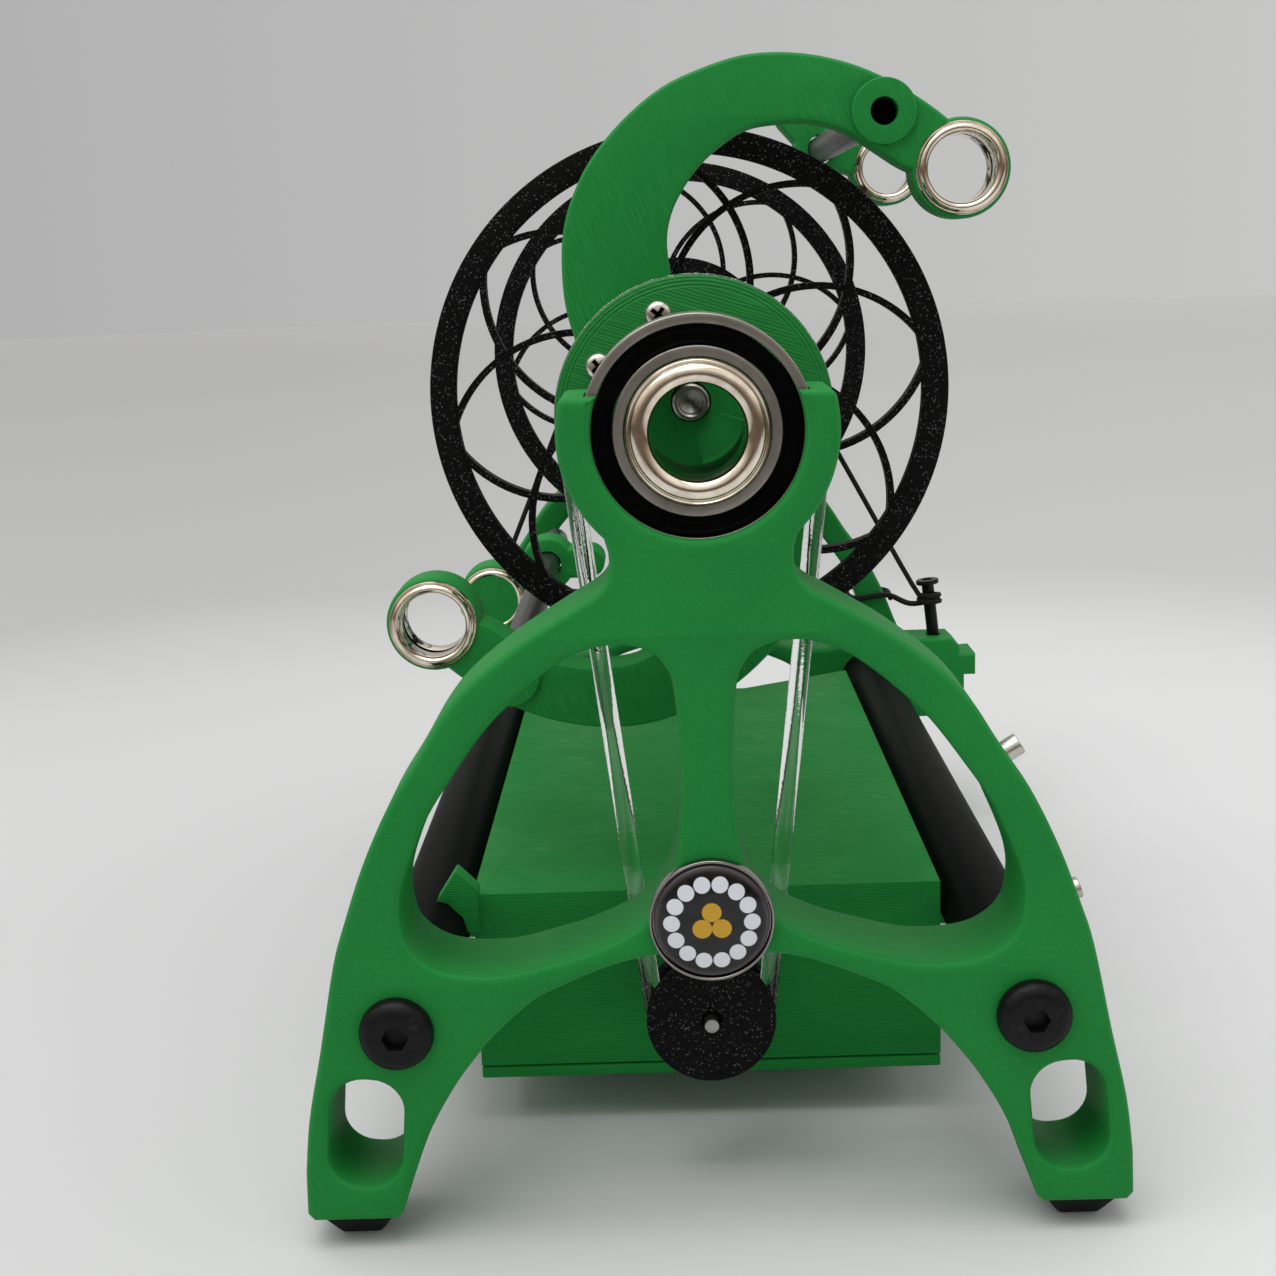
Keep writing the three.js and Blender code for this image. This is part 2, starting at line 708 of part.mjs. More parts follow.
piece(frame, 'edge_pin_upper', 'steel', edgePin(PIN_UP_SHARES, PIN_UP_TURN, PIN_R, -PIN_SINK, PIN_UP_OUT));
piece(frame, 'edge_pin_lower', 'steel', edgePin(PIN_LOW_SHARES, PIN_LOW_TURN, PIN_R, -PIN_SINK, PIN_LOW_OUT));

// Front bearing: the outer race and its seals stay in the cradle
piece(frame, 'front_bearing_race', 'steel', tube(BEARING_R, SEAL_R, 0, BEARING_WIDTH, ROUND));
piece(frame, 'front_bearing_seals', 'rubber', tube(
  SEAL_R - GAP, INNER_RING_R + GAP, SEAL_RECESS, BEARING_WIDTH - SEAL_RECESS, ROUND,
));

// Badge: a metal cup with a domed face
const badgeTop = PLATE_FRONT - BADGE_CUP_TALL;
piece(frame, 'badge_cup', 'steel', turned([
  [0, PLATE_FRONT], [BADGE_R, PLATE_FRONT], [BADGE_R, badgeTop], [BADGE_R - BADGE_WALL, badgeTop],
  [BADGE_R - BADGE_WALL, PLATE_FRONT - BADGE_WALL], [0, PLATE_FRONT - BADGE_WALL],
], ROUND, 0, -BADGE_DROP));
const domeR = BADGE_R - BADGE_WALL - GAP;
const domePoints = [0, 0.35, 0.65, 0.88, 1].map((share) => [
  share * domeR, badgeTop + GAP - (BADGE_CROWN + GAP) * Math.sqrt(1 - share * share),
]);
piece(frame, 'badge_dome', 'dome', turned([
  ...domePoints, [domeR, PLATE_FRONT - BADGE_WALL], [0, PLATE_FRONT - BADGE_WALL],
], ROUND, 0, -BADGE_DROP));

// Rear plate: lower shoulders, a small cradle and the cord post on one leg
const cordRunR = WHORL_GROOVE_R + CORD_R + GAP;
const postTouch = touchTurn(-POST_OUT, -POST_DROP, cordRunR);
const [touchX, touchZ] = polar(postTouch, cordRunR);
const crossTurn = THREE.MathUtils.radToDeg(Math.atan2(touchZ + POST_DROP, touchX + POST_OUT));
const postFront = BRAKE_AT - POST_R;
const postHole = rod(POST_HOLE_R, postFront - CUT_OVER, REAR_BACK + CUT_OVER, TINY, -POST_OUT, -POST_DROP);
const crossHole = spoke(CORD_R + GAP, 0, POST_R + CUT_OVER, crossTurn, -POST_OUT, BRAKE_AT, -POST_DROP);
const rearShape = plateShape(REAR_HEAD_R, REAR_HORN_RISE, REAR_NOTCH_R, REAR_SLUMP_SHARE);
let rearPlate = joined(
  slab(rearShape, REAR_FRONT, REAR_BACK, PLATE_EDGE),
  rod(POST_R, postFront, REAR_BACK - PLATE_EDGE, SMALL, -POST_OUT, -POST_DROP),
);
rearPlate = cut(
  rearPlate,
  rod(REAR_BEARING_R + GAP, REAR_SEAT_FRONT - GAP, REAR_SEAT_FRONT + REAR_BEARING_WIDTH + GAP, ROUND),
  ...tubeHoles(REAR_BACK, -1),
  ...[-1, 1].map((side) => rod(
    TUBE_R + GAP, REAR_FRONT - CUT_OVER, REAR_FRONT + TUBE_SOCKET, SMALL, side * TUBE_OUT, -TUBE_DROP,
  )),
  postHole,
  crossHole,
);
piece(frame, 'rear_plate', 'green', rearPlate);

// Rear bearing's outer race with its shields
const rearRaceIn = REAR_RING_R + GAP;
piece(frame, 'rear_bearing_race', 'steel', tube(
  REAR_BEARING_R, rearRaceIn, REAR_SEAT_FRONT, REAR_SEAT_FRONT + REAR_BEARING_WIDTH, ROUND,
));

// Frame tubes between the plates, with a bolt into each end
[['left', -1], ['right', 1]].forEach(([name, side]) => {
  piece(frame, `frame_tube_${name}`, 'satin', tube(
    TUBE_R, BOLT_R + GAP,
    PLATE_BACK - TUBE_SOCKET + GAP, REAR_FRONT + TUBE_SOCKET - GAP, SMALL, side * TUBE_OUT, -TUBE_DROP,
  ));
  piece(frame, `front_bolt_${name}`, 'oxide', bolt(side * TUBE_OUT, -TUBE_DROP, PLATE_FRONT, 1));
  piece(frame, `rear_bolt_${name}`, 'oxide', bolt(side * TUBE_OUT, -TUBE_DROP, REAR_BACK, -1));
  [['front', PLATE_MID], ['rear', REAR_MID]].forEach(([end, y]) => {
    piece(frame, `foot_${end}_${name}`, 'rubber', bumper(side * FOOT_OUT, y));
  });
});

// Tension block on the rear plate's right leg
piece(frame, 'tension_block', 'green', cut(
  slab(outline([
    [BLOCK_IN, -BLOCK_TOP], [BLOCK_OUT - BLOCK_CORNER, -BLOCK_TOP],
    [BLOCK_OUT, -BLOCK_TOP - BLOCK_CORNER], [BLOCK_OUT, -BLOCK_TOP - BLOCK_CAP_TALL],
    [TAB_OUT, -TAB_TOP], [TAB_OUT, -TAB_LOW], [BLOCK_WIDER, -TAB_LOW],
    [BLOCK_WIDER, -BLOCK_LOW], [BLOCK_IN, -BLOCK_LOW],
  ]), BLOCK_FRONT, REAR_FRONT),
  onPeg([[0, -PEG_SINK - GAP], [PEG_R + GAP, -PEG_SINK - GAP], [PEG_R + GAP, CUT_OVER], [0, CUT_OVER]], TINY),
  rod(TUBE_R + GAP, BLOCK_FRONT - CUT_OVER, REAR_FRONT + CUT_OVER, SMALL, TUBE_OUT, -TUBE_DROP),
));

// Base box between the tubes: deck, walls, motor ribs, saddles under the tubes and the front fin
function basePlan(inset) {
  const half = BASE_HALF - inset;
  const rear = BASE_BACK - 2 * inset;
  return outline([
    [-half, BASE_FRONT + inset], [half, BASE_FRONT + inset], [half, rear],
    [NOTCH_HALF, BASE_NOTCH - inset], [-NOTCH_HALF, BASE_NOTCH - inset], [-half, rear],
  ]);
}
const innerHalf = BASE_HALF - BASE_WALL;
const motorFront = BASE_FRONT + BASE_WALL;
const ribs = [-1, 1].map((side) => {
  const xs = [side * (MOTOR_R + GAP), side * (MOTOR_R + GAP + BASE_WALL)].sort((a, b) => a - b);
  return box(
    xs[0], xs[1], motorFront - GAP, motorFront + MOTOR_LONG,
    -MOTOR_DROP - BASE_WALL, -DECK_DROP - DECK_THICK + GAP,
  );
});
const saddles = [-1, 1].flatMap((side) => [SADDLE_FRONT_AT, SADDLE_REAR_AT].map((y) => {
  const near = side * (BASE_HALF - GAP);
  const far = side * SADDLE_REACH;
  const xs = [near, far].sort((a, b) => a - b);
  return box(xs[0], xs[1], y, y + SADDLE_LONG, -TUBE_DROP - TUBE_R - SADDLE_WALL, -TUBE_DROP);
}));
const fin = slab(outline([
  [-FIN_IN, -DECK_DROP - FIN_RISE], [-FIN_IN, -DECK_DROP + FIN_SHOULDER],
  [-FIN_PEAK + GAP, -DECK_DROP + FIN_RISE], [-FIN_PEAK, -DECK_DROP + FIN_RISE],
  [-FIN_OUT, -DECK_DROP - GAP], [-FIN_OUT, -DECK_DROP - FIN_RISE],
]), FIN_FRONT, BASE_FRONT + GAP);
const tubeClear = [-1, 1].map((side) => rod(
  TUBE_R + GAP, FIN_FRONT - CUT_OVER, BASE_BACK + CUT_OVER, SMALL, side * TUBE_OUT, -TUBE_DROP,
));
const deckLow = -DECK_DROP - DECK_THICK;
let baseBox = cut(
  plan(basePlan(0), -BASE_LOW, -DECK_DROP),
  plan(basePlan(BASE_WALL), -BASE_LOW - CUT_OVER, deckLow),
);
baseBox = joined(baseBox, ...ribs, ...saddles, fin);
const knobZ = -KNOB_DROP;
const jackCentre = [JACK_AT, -SIDE_DROP];
baseBox = cut(
  baseBox,
  ...tubeClear,
  rod(MOTOR_BOSS_R + GAP, BASE_FRONT - CUT_OVER, BASE_FRONT + BASE_WALL + CUT_OVER, SMALL, 0, -MOTOR_DROP),
  rod(POT_BUSH_R + GAP, BASE_NOTCH - BASE_WALL - CUT_OVER, BASE_NOTCH + CUT_OVER, SMALL, 0, knobZ),
  bar(JACK_R + GAP, -BASE_HALF - CUT_OVER, -innerHalf + CUT_OVER, SMALL, ...jackCentre),
  box(
    innerHalf - CUT_OVER, BASE_HALF + CUT_OVER,
    JACK_AT - ROCKER_LONG / 2 - GAP, JACK_AT + ROCKER_LONG / 2 + GAP,
    -SIDE_DROP - ROCKER_TALL / 2 - GAP, -SIDE_DROP + ROCKER_TALL / 2 + GAP,
  ),
);
piece(frame, 'base_box', 'green', baseBox);

// Bottom cover: a lip that snaps inside the walls, and the posts that carry the board
const boardZ = COVER_TOP + BOARD_LIFT;
const boardSpots = [-1, 1].flatMap((side) => [BOARD_FRONT, BOARD_FRONT + BOARD_LONG - POST_WIDE].map((y) => [
  (side * (BOARD_WIDE - POST_WIDE)) / 2, y + POST_WIDE / 2,
]));
const lipOut = BASE_WALL + GAP;
piece(frame, 'base_cover', 'green', joined(
  plan(basePlan(0), COVER_BOTTOM, COVER_TOP),
  cut(
    plan(basePlan(lipOut), COVER_TOP - GAP, COVER_TOP + LIP_TALL),
    plan(basePlan(lipOut + LIP_WALL), COVER_TOP - CUT_OVER, COVER_TOP + LIP_TALL + CUT_OVER),
  ),
  ...boardSpots.map(([x, y]) => pillar(POST_WIDE / 2, COVER_TOP - GAP, boardZ, TINY, x, y)),
));

// Control board with its parts soldered on
const boardTop = boardZ + BOARD_THICK;
const boardMid = BOARD_FRONT + BOARD_LONG / 2;
piece(frame, 'control_board', 'board', joined(
  box(-BOARD_WIDE / 2, BOARD_WIDE / 2, BOARD_FRONT, BOARD_FRONT + BOARD_LONG, boardZ, boardTop),
  box(
    -CHIP_WIDE / 2, CHIP_WIDE / 2, boardMid - CHIP_WIDE / 2, boardMid + CHIP_WIDE / 2,
    boardTop - GAP, boardTop + CHIP_TALL,
  ),
  pillar(CAN_R, boardTop - GAP, boardTop + CAN_TALL, TINY, CHIP_WIDE, BOARD_FRONT + CHIP_WIDE),
  box(
    -BOARD_WIDE / 2, -CHIP_WIDE, BOARD_FRONT, BOARD_FRONT + CHIP_WIDE,
    boardTop - GAP, boardTop + 2 * CHIP_TALL,
  ),
));

// Motor between the ribs, its boss seated in the base's front wall
const motorBack = motorFront + MOTOR_LONG;
piece(frame, 'motor_body', 'steel', turned([
  [0, BASE_FRONT + GAP], [MOTOR_BOSS_R, BASE_FRONT + GAP], [MOTOR_BOSS_R, motorFront],
  [MOTOR_R, motorFront], [MOTOR_R, motorBack], [MOTOR_BOSS_R, motorBack],
  [MOTOR_BOSS_R, motorBack + MOTOR_CAP], [0, motorBack + MOTOR_CAP],
], ROUND, 0, -MOTOR_DROP));

// Motor shaft and its grooved pulley turn together
const motorPulleyFront = BELT_AT - MOTOR_PULLEY_LONG / 2;
const motorPulleyBack = BELT_AT + MOTOR_PULLEY_LONG / 2;
piece(frame, 'motor_shaft', 'steel', rod(
  MOTOR_SHAFT_R, MOTOR_SHAFT_TIP, BASE_FRONT, TINY, 0, -MOTOR_DROP,
));
piece(frame, 'motor_pulley', 'black', turned([
  [MOTOR_SHAFT_R + GAP, motorPulleyFront], [MOTOR_PULLEY_R, motorPulleyFront],
  ...groove(MOTOR_PULLEY_R, MOTOR_PULLEY_RUN_R - BELT_R - GAP),
  [MOTOR_PULLEY_R, motorPulleyBack], [MOTOR_HUB_R, motorPulleyBack],
  [MOTOR_HUB_R, motorPulleyBack + MOTOR_HUB_LONG],
  [MOTOR_SHAFT_R + GAP, motorPulleyBack + MOTOR_HUB_LONG], [MOTOR_SHAFT_R + GAP, motorPulleyFront],
], ROUND, 0, -MOTOR_DROP));

// Clear round belt over both pulleys
const spread = Math.asin((BELT_RUN_R - MOTOR_PULLEY_RUN_R) / MOTOR_DROP);
const spreadTurn = THREE.MathUtils.radToDeg(spread);
function beltLine(offset) {
  return [
    ...arcPoints(0, 0, BELT_RUN_R + offset, -spreadTurn, 180 + spreadTurn, ROUND),
    ...arcPoints(0, -MOTOR_DROP, MOTOR_PULLEY_RUN_R + offset, 180 + spreadTurn, 360 - spreadTurn, SMALL),
  ];
}
const beltShape = outline(beltLine(BELT_R));
pierce(beltShape, beltLine(-BELT_R));
const beltEdge = BELT_R * (1 - Math.tan(Math.PI / 8));
piece(frame, 'drive_belt', 'clear', slab(beltShape, BELT_AT - BELT_R, BELT_AT + BELT_R, beltEdge));

// Speed control on the rear wall: body inside, knob outside
const wallOut = BASE_NOTCH;
const wallIn = BASE_NOTCH - BASE_WALL;
piece(frame, 'speed_control', 'black', joined(
  box(
    -POT_WIDE / 2, POT_WIDE / 2, wallIn - POT_LONG, wallIn,
    knobZ - POT_WIDE / 2, knobZ + POT_WIDE / 2,
  ),
  tube(POT_BUSH_R, POT_SHAFT_R + GAP, wallIn - GAP, wallOut + POT_BUSH_LONG, SMALL, 0, knobZ),
));
const knobFront = wallOut + POT_BUSH_LONG + RUN_GAP;
const ridges = [];
for (let i = 0; i < KNOB_FLATS; i += 1) {
  const [x, z] = polar((360 * i) / KNOB_FLATS, KNOB_R + KNOB_LINE / 2);
  ridges.push(rod(KNOB_LINE, knobFront - CUT_OVER, knobFront + KNOB_LONG - KNOB_LINE, 6, x, knobZ + z));
}
piece(frame, 'speed_knob', 'black', cut(
  joined(
    rod(KNOB_R, knobFront, knobFront + KNOB_LONG, ROUND, 0, knobZ),
    rod(POT_SHAFT_R, wallIn + GAP, knobFront + GAP, TINY, 0, knobZ),
  ),
  ...ridges,
  box(
    -KNOB_LINE / 2, KNOB_LINE / 2, knobFront + KNOB_LONG - KNOB_LINE, knobFront + KNOB_LONG + CUT_OVER,
    knobZ + KNOB_LINE, knobZ + KNOB_R + CUT_OVER,
  ),
));

// Power inlet in the left wall, under the tube
const jackIn = -BASE_HALF + JACK_LONG;
const jackOut = -BASE_HALF - JACK_FLANGE_TALL;
piece(frame, 'power_inlet', 'black', laid([
  [0, -BASE_HALF], [JACK_PIN_R, -BASE_HALF],
  [JACK_PIN_R, jackIn - JACK_FLANGE_TALL], [JACK_BORE_R, jackIn - JACK_FLANGE_TALL],
  [JACK_BORE_R, jackOut], [JACK_FLANGE_R, jackOut], [JACK_FLANGE_R, -BASE_HALF],
  [JACK_R, -BASE_HALF], [JACK_R, jackIn], [0, jackIn],
], SMALL, ...jackCentre));

// Power switch in the right wall: a bezelled housing and the rocker on its pivot
const pocketLong = ROCKER_LONG / 2 - ROCKER_WALL;
const pocketTall = ROCKER_TALL / 2 - ROCKER_WALL;
const pivotX = BASE_HALF;
piece(frame, 'switch_housing', 'black', cut(
  joined(
    box(
      BASE_HALF - ROCKER_DEEP, BASE_HALF + GAP, JACK_AT - ROCKER_LONG / 2, JACK_AT + ROCKER_LONG / 2,
      -SIDE_DROP - ROCKER_TALL / 2, -SIDE_DROP + ROCKER_TALL / 2,
    ),
    box(
      BASE_HALF, BASE_HALF + ROCKER_BEZEL_TALL,
      JACK_AT - ROCKER_LONG / 2 - ROCKER_BEZEL, JACK_AT + ROCKER_LONG / 2 + ROCKER_BEZEL,
      -SIDE_DROP - ROCKER_TALL / 2 - ROCKER_BEZEL, -SIDE_DROP + ROCKER_TALL / 2 + ROCKER_BEZEL,
    ),
  ),
  box(
    BASE_HALF - ROCKER_DEEP + ROCKER_WALL, BASE_HALF + ROCKER_BEZEL_TALL + CUT_OVER,
    JACK_AT - pocketLong, JACK_AT + pocketLong, -SIDE_DROP - pocketTall, -SIDE_DROP + pocketTall,
  ),
  pillar(
    ROCKER_PIVOT_R + GAP, -SIDE_DROP - ROCKER_TALL / 2 + GAP, -SIDE_DROP + ROCKER_TALL / 2 - GAP,
    TINY, pivotX, JACK_AT,
  ),
));
const capLong = pocketLong - RUN_GAP;
const capTall = pocketTall - RUN_GAP;
const pinReach = ROCKER_TALL / 2 - 2 * GAP;
const rocker = piece(frame, 'power_rocker', 'black', joined(
  plan(outline([
    [-ROCKER_TUCK, -capLong + ROCKER_WALL], [ROCKER_CROWN, -capLong], [ROCKER_DIP, 0],
    [ROCKER_CROWN, capLong], [-ROCKER_TUCK, capLong - ROCKER_WALL],
  ]), -capTall, capTall),
  pillar(ROCKER_PIVOT_R, -pinReach, pinReach, TINY),
));
rocker.position.set(pivotX, JACK_AT, -SIDE_DROP);
rocker.rotation.z = THREE.MathUtils.degToRad(ROCKER_TILT);

// Tension peg standing in the block, leaning a little to the left and free to turn
const pegTop = PEG_RISE + PEG_HEAD_TALL;
piece(frame, 'tension_peg', 'black', cut(
  onPeg([
    [0, -PEG_SINK], [PEG_R, -PEG_SINK], [PEG_R, PEG_RISE], [PEG_HEAD_R, PEG_RISE],
    [PEG_HEAD_R, pegTop - GAP], [PEG_HEAD_R - GAP, pegTop], [0, pegTop],
  ], SMALL),
  onPeg([[0, pegTop - PEG_HEAD_TALL / 2], [PEG_R, pegTop - PEG_HEAD_TALL / 2], [PEG_R, pegTop + CUT_OVER],
    [0, pegTop + CUT_OVER]], 6),
));

// Brake cord: out of the post, over the bobbin's groove, round the peg and to the rear plate's leg.
// Its points lie close together where it bends, and the tube has one step between two of them.
class CordRoute extends THREE.CatmullRomCurve3 {
  getUtoTmapping(u) {
    return u;
  }
}
const pegWrapR = PEG_R + CORD_R + GAP;
const lean = THREE.MathUtils.degToRad(PEG_LEAN);
const wrapTop = PEG_RISE - 2 * CORD_R - 3 * GAP;
const aroundPeg = [];
for (let turn = 0; turn <= CORD_WRAP; turn += 30) {
  const [x, y] = polar(180 + turn, pegWrapR);
  const z = wrapTop - (CORD_PITCH * turn) / 360;
  aroundPeg.push([
    PEG_OUT + x * Math.cos(lean) - z * Math.sin(lean), BRAKE_AT + y,
    -BLOCK_TOP + x * Math.sin(lean) + z * Math.cos(lean),
  ]);
}
const [[wrapX, , wrapZ]] = aroundPeg;
const pegTouch = touchTurn(wrapX, wrapZ, cordRunR);
const overGroove = arcPoints(0, 0, cordRunR, postTouch, pegTouch, SMALL).map(([x, z]) => [x, BRAKE_AT, z]);
const [leaveX, , leaveZ] = overGroove[SMALL];
const [lastX, lastY, lastZ] = aroundPeg[aroundPeg.length - 1];

// Its end is tied round the rear plate's right leg, a little lower on every side
const legOut = (drop) => rightmostAt(placed(SIDE_SHARES, REAR_SLUMP_SHARE), -drop) + CORD_R + 2 * GAP;
const legIn = (drop) => rightmostAt(placed(WINDOW_SHARES, REAR_SLUMP_SHARE), -drop) - CORD_R - 2 * GAP;
const tieFront = REAR_FRONT - CORD_R - GAP;
const tieBack = REAR_BACK + CORD_R + GAP;
const tieBend = PLATE_EDGE + CORD_R;
const tieInner = TIE_DROP + CORD_PITCH / 2;
const tieOuter = TIE_DROP + CORD_PITCH;
const tieRound = [
  [legOut(TIE_DROP) - CORD_R, tieFront, -TIE_DROP],
  [legIn(tieInner) + tieBend, tieFront, -tieInner],
  [legIn(tieInner), tieFront + tieBend, -tieInner],
  [legIn(tieInner), tieBack - tieBend, -tieInner],
  [legIn(tieInner) + tieBend, tieBack, -tieInner],
  [legOut(tieOuter) - tieBend, tieBack, -tieOuter],
  [legOut(tieOuter), tieBack - tieBend, -tieOuter],
  [legOut(tieOuter), tieFront + 2 * tieBend, -tieOuter],
];
const cordSpots = [
  [-POST_OUT, BRAKE_AT, -POST_DROP],
  [(touchX - POST_OUT) / 2, BRAKE_AT, (touchZ - POST_DROP) / 2],
  ...overGroove,
  [(leaveX + wrapX) / 2, BRAKE_AT, (leaveZ + wrapZ) / 2],
  ...aroundPeg,
  [(lastX + tieRound[0][0]) / 2, (lastY + tieFront) / 2, (lastZ - TIE_DROP) / 2 - CORD_SLACK / 2],
  ...tieRound,
];
const cordRoute = new CordRoute(cordSpots.map((spot) => new THREE.Vector3(...spot)), false, 'centripetal');
const cordRing = outline(arcPoints(0, 0, CORD_R, 0, 315, 7));
piece(frame, 'brake_cord', 'black', solid(new THREE.ExtrudeGeometry(cordRing, {
  steps: cordSpots.length - 1, bevelEnabled: false, extrudePath: cordRoute,
})));

// Flyer pulley: hub tube through the bearing, shoulder and belt disc in one
const screwTurns = [90 - SCREW_HALF, 90 + SCREW_HALF, 270 - SCREW_HALF, 270 + SCREW_HALF];
const screwSpots = screwTurns.map((turn) => polar(turn, SCREW_RING_R));
piece(flyer, 'flyer_pulley', 'green', cut(
  turned([
    [HUB_BORE_R, -HUB_PROUD], [HUB_TUBE_R, -HUB_PROUD], [HUB_TUBE_R, BEARING_WIDTH + GAP],
    [HUB_SHOULDER_R, BEARING_WIDTH + GAP], [HUB_SHOULDER_R, DISC_FRONT],
    [DISC_R - DISC_EDGE, DISC_FRONT], [DISC_R, DISC_FRONT + DISC_EDGE],
    ...groove(DISC_R, BELT_RUN_R - BELT_R - GAP),
    [DISC_R, DISC_BACK - DISC_EDGE], [DISC_R - DISC_EDGE, DISC_BACK],
    [HUB_BORE_R, DISC_BACK], [HUB_BORE_R, -HUB_PROUD],
  ], ROUND),
  ...screwSpots.map(([x, z]) => rod(
    SCREW_R + GAP, DISC_FRONT - CUT_OVER, DISC_BACK + CUT_OVER, TINY, x, z,
  )),
));
piece(flyer, 'orifice_eyelet', 'nickel', eyelet(ORIFICE_R, ORIFICE_FLANGE_R, -HUB_PROUD, 1, ORIFICE_DEEP));
piece(flyer, 'front_bearing_inner', 'steel', tube(INNER_RING_R, BEARING_BORE_R, 0, BEARING_WIDTH, ROUND));

// Flyer arms: hub, two crescents, ring sockets, rod bosses and the struts up to the pulley
function armPoints(shares) {
  return shares.map(([turn, reach]) => polar(turn, reach * RING_REACH));
}
const crescentLine = [
  ...smoothed(armPoints(ARM_OUTER_SHARES), 2 * TINY), ...smoothed(armPoints(ARM_INNER_SHARES), SMALL),
];
const [rodX, rodZ] = polar(ROD_TURN, ROD_REACH);
const socketBore = RING_R + EYELET_WALL + GAP;
const strutLine = [
  ...arcPoints(0, 0, ARM_HUB_R, 90 - STRUT_HALF, 90 + STRUT_HALF, TINY),
  ...arcPoints(0, 0, STRUT_IN_R, 90 + STRUT_HALF, 90 - STRUT_HALF, TINY),
];
const armSide = joined(
  slab(outline(crescentLine), ARM_FRONT, ARM_BACK, ARM_EDGE),
  disc(RING_SOCKET_R, ARM_FRONT, ARM_BACK, ARM_EDGE, SMALL, RING_REACH, 0),
  rod(BOSS_R, ARM_FRONT - BOSS_RISE, ARM_MID, SMALL, rodX, rodZ),
  slab(outline(strutLine), DISC_BACK, ARM_MID),
);
const armTools = joined(
  rod(socketBore, ARM_FRONT - CUT_OVER, ARM_BACK + CUT_OVER, SMALL, RING_REACH, 0),
  rod(ROD_R + GAP, ARM_BACK - ROD_SEAT, ARM_BACK + CUT_OVER, SMALL, rodX, rodZ),
  rod(ROD_BORE_R, ARM_FRONT - BOSS_RISE - CUT_OVER, ARM_BACK, TINY, rodX, rodZ),
);
piece(flyer, 'flyer_arms', 'green', cut(
  joined(disc(ARM_HUB_R, ARM_FRONT, ARM_BACK, ARM_EDGE, ROUND), armSide, swung(armSide, 180)),
  armTools,
  swung(armTools, 180),
  rod(SHAFT_R + GAP, DISC_BACK, ARM_BACK + CUT_OVER, SMALL),
  ...screwSpots.map(([x, z]) => rod(
    SCREW_R + GAP, DISC_BACK - CUT_OVER, DISC_FRONT + SCREW_LENGTH + GAP, TINY, x, z,
  )),
));
screwSpots.forEach(([x, z], i) => {
  piece(flyer, `hub_screw_${i + 1}`, 'steel', turned([
    [0, DISC_FRONT - SCREW_HEAD_TALL], [SCREW_HEAD_R / 2, DISC_FRONT - SCREW_HEAD_TALL],
    [SCREW_HEAD_R, DISC_FRONT - SCREW_HEAD_TALL / 2], [SCREW_HEAD_R, DISC_FRONT], [SCREW_R, DISC_FRONT],
    [SCREW_R, DISC_FRONT + SCREW_LENGTH], [0, DISC_FRONT + SCREW_LENGTH],
  ], TINY, x, z));
});

// A pair of eyelets pressed into both ends of a yarn ring
function ringEyelets(name, y0, y1, x, z) {
  piece(flyer, `${name}_eyelet_front`, 'nickel', eyelet(RING_R, RING_FLANGE_R, y0, 1, RING_DEEP, x, z));
  piece(flyer, `${name}_eyelet_back`, 'nickel', eyelet(RING_R, RING_FLANGE_R, y1, -1, RING_DEEP, x, z));
}
ringEyelets('upper_ring', ARM_FRONT, ARM_BACK, RING_REACH, 0);
ringEyelets('lower_ring', ARM_FRONT, ARM_BACK, -RING_REACH, 0);

// Rods that carry the sliding guides
const rodFront = ARM_BACK - ROD_SEAT + GAP;
[['upper', 1, GUIDE_UPPER_TURN], ['lower', -1, GUIDE_LOWER_TURN]].forEach(([name, side, turn]) => {
  const x = side * rodX;
  const z = side * rodZ;
  piece(flyer, `flyer_rod_${name}`, 'satin', tube(ROD_R, ROD_BORE_R, rodFront, ROD_END, SMALL, x, z));
  const [ringX, ringZ] = polar(turn, GUIDE_REACH);
  const [tabX, tabZ] = polar(turn + GUIDE_TAB_TURN, GUIDE_TAB_REACH);
  const guideBack = GUIDE_AT + GUIDE_LONG;
  const link = (way, reach, wide) => {
    const [endX, endZ] = polar(way, reach);
    const [sideX, sideZ] = polar(way + 90, wide / 2);
    return slab(outline([
      [x + sideX, z + sideZ], [x - sideX, z - sideZ],
      [x + endX - sideX, z + endZ - sideZ], [x + endX + sideX, z + endZ + sideZ],
    ]), GUIDE_AT, guideBack, ARM_EDGE);
  };
  const blank = joined(
    disc(GUIDE_R, GUIDE_AT, guideBack, ARM_EDGE, SMALL, x, z),
    disc(RING_SOCKET_R, GUIDE_AT, guideBack, ARM_EDGE, SMALL, x + ringX, z + ringZ),
    disc(GUIDE_TAB_R, GUIDE_AT, guideBack, ARM_EDGE, TINY, x + tabX, z + tabZ),
    link(turn, GUIDE_REACH, GUIDE_ARM_WIDE),
    link(turn + GUIDE_TAB_TURN, GUIDE_TAB_REACH, 2 * GUIDE_TAB_R),
  );
  piece(flyer, `guide_${name}`, 'green', cut(
    blank,
    rod(ROD_R + GAP, GUIDE_AT - CUT_OVER, guideBack + CUT_OVER, SMALL, x, z),
    rod(socketBore, GUIDE_AT - CUT_OVER, guideBack + CUT_OVER, SMALL, x + ringX, z + ringZ),
  ));
  ringEyelets(`guide_${name}`, GUIDE_AT, guideBack, x + ringX, z + ringZ);
});

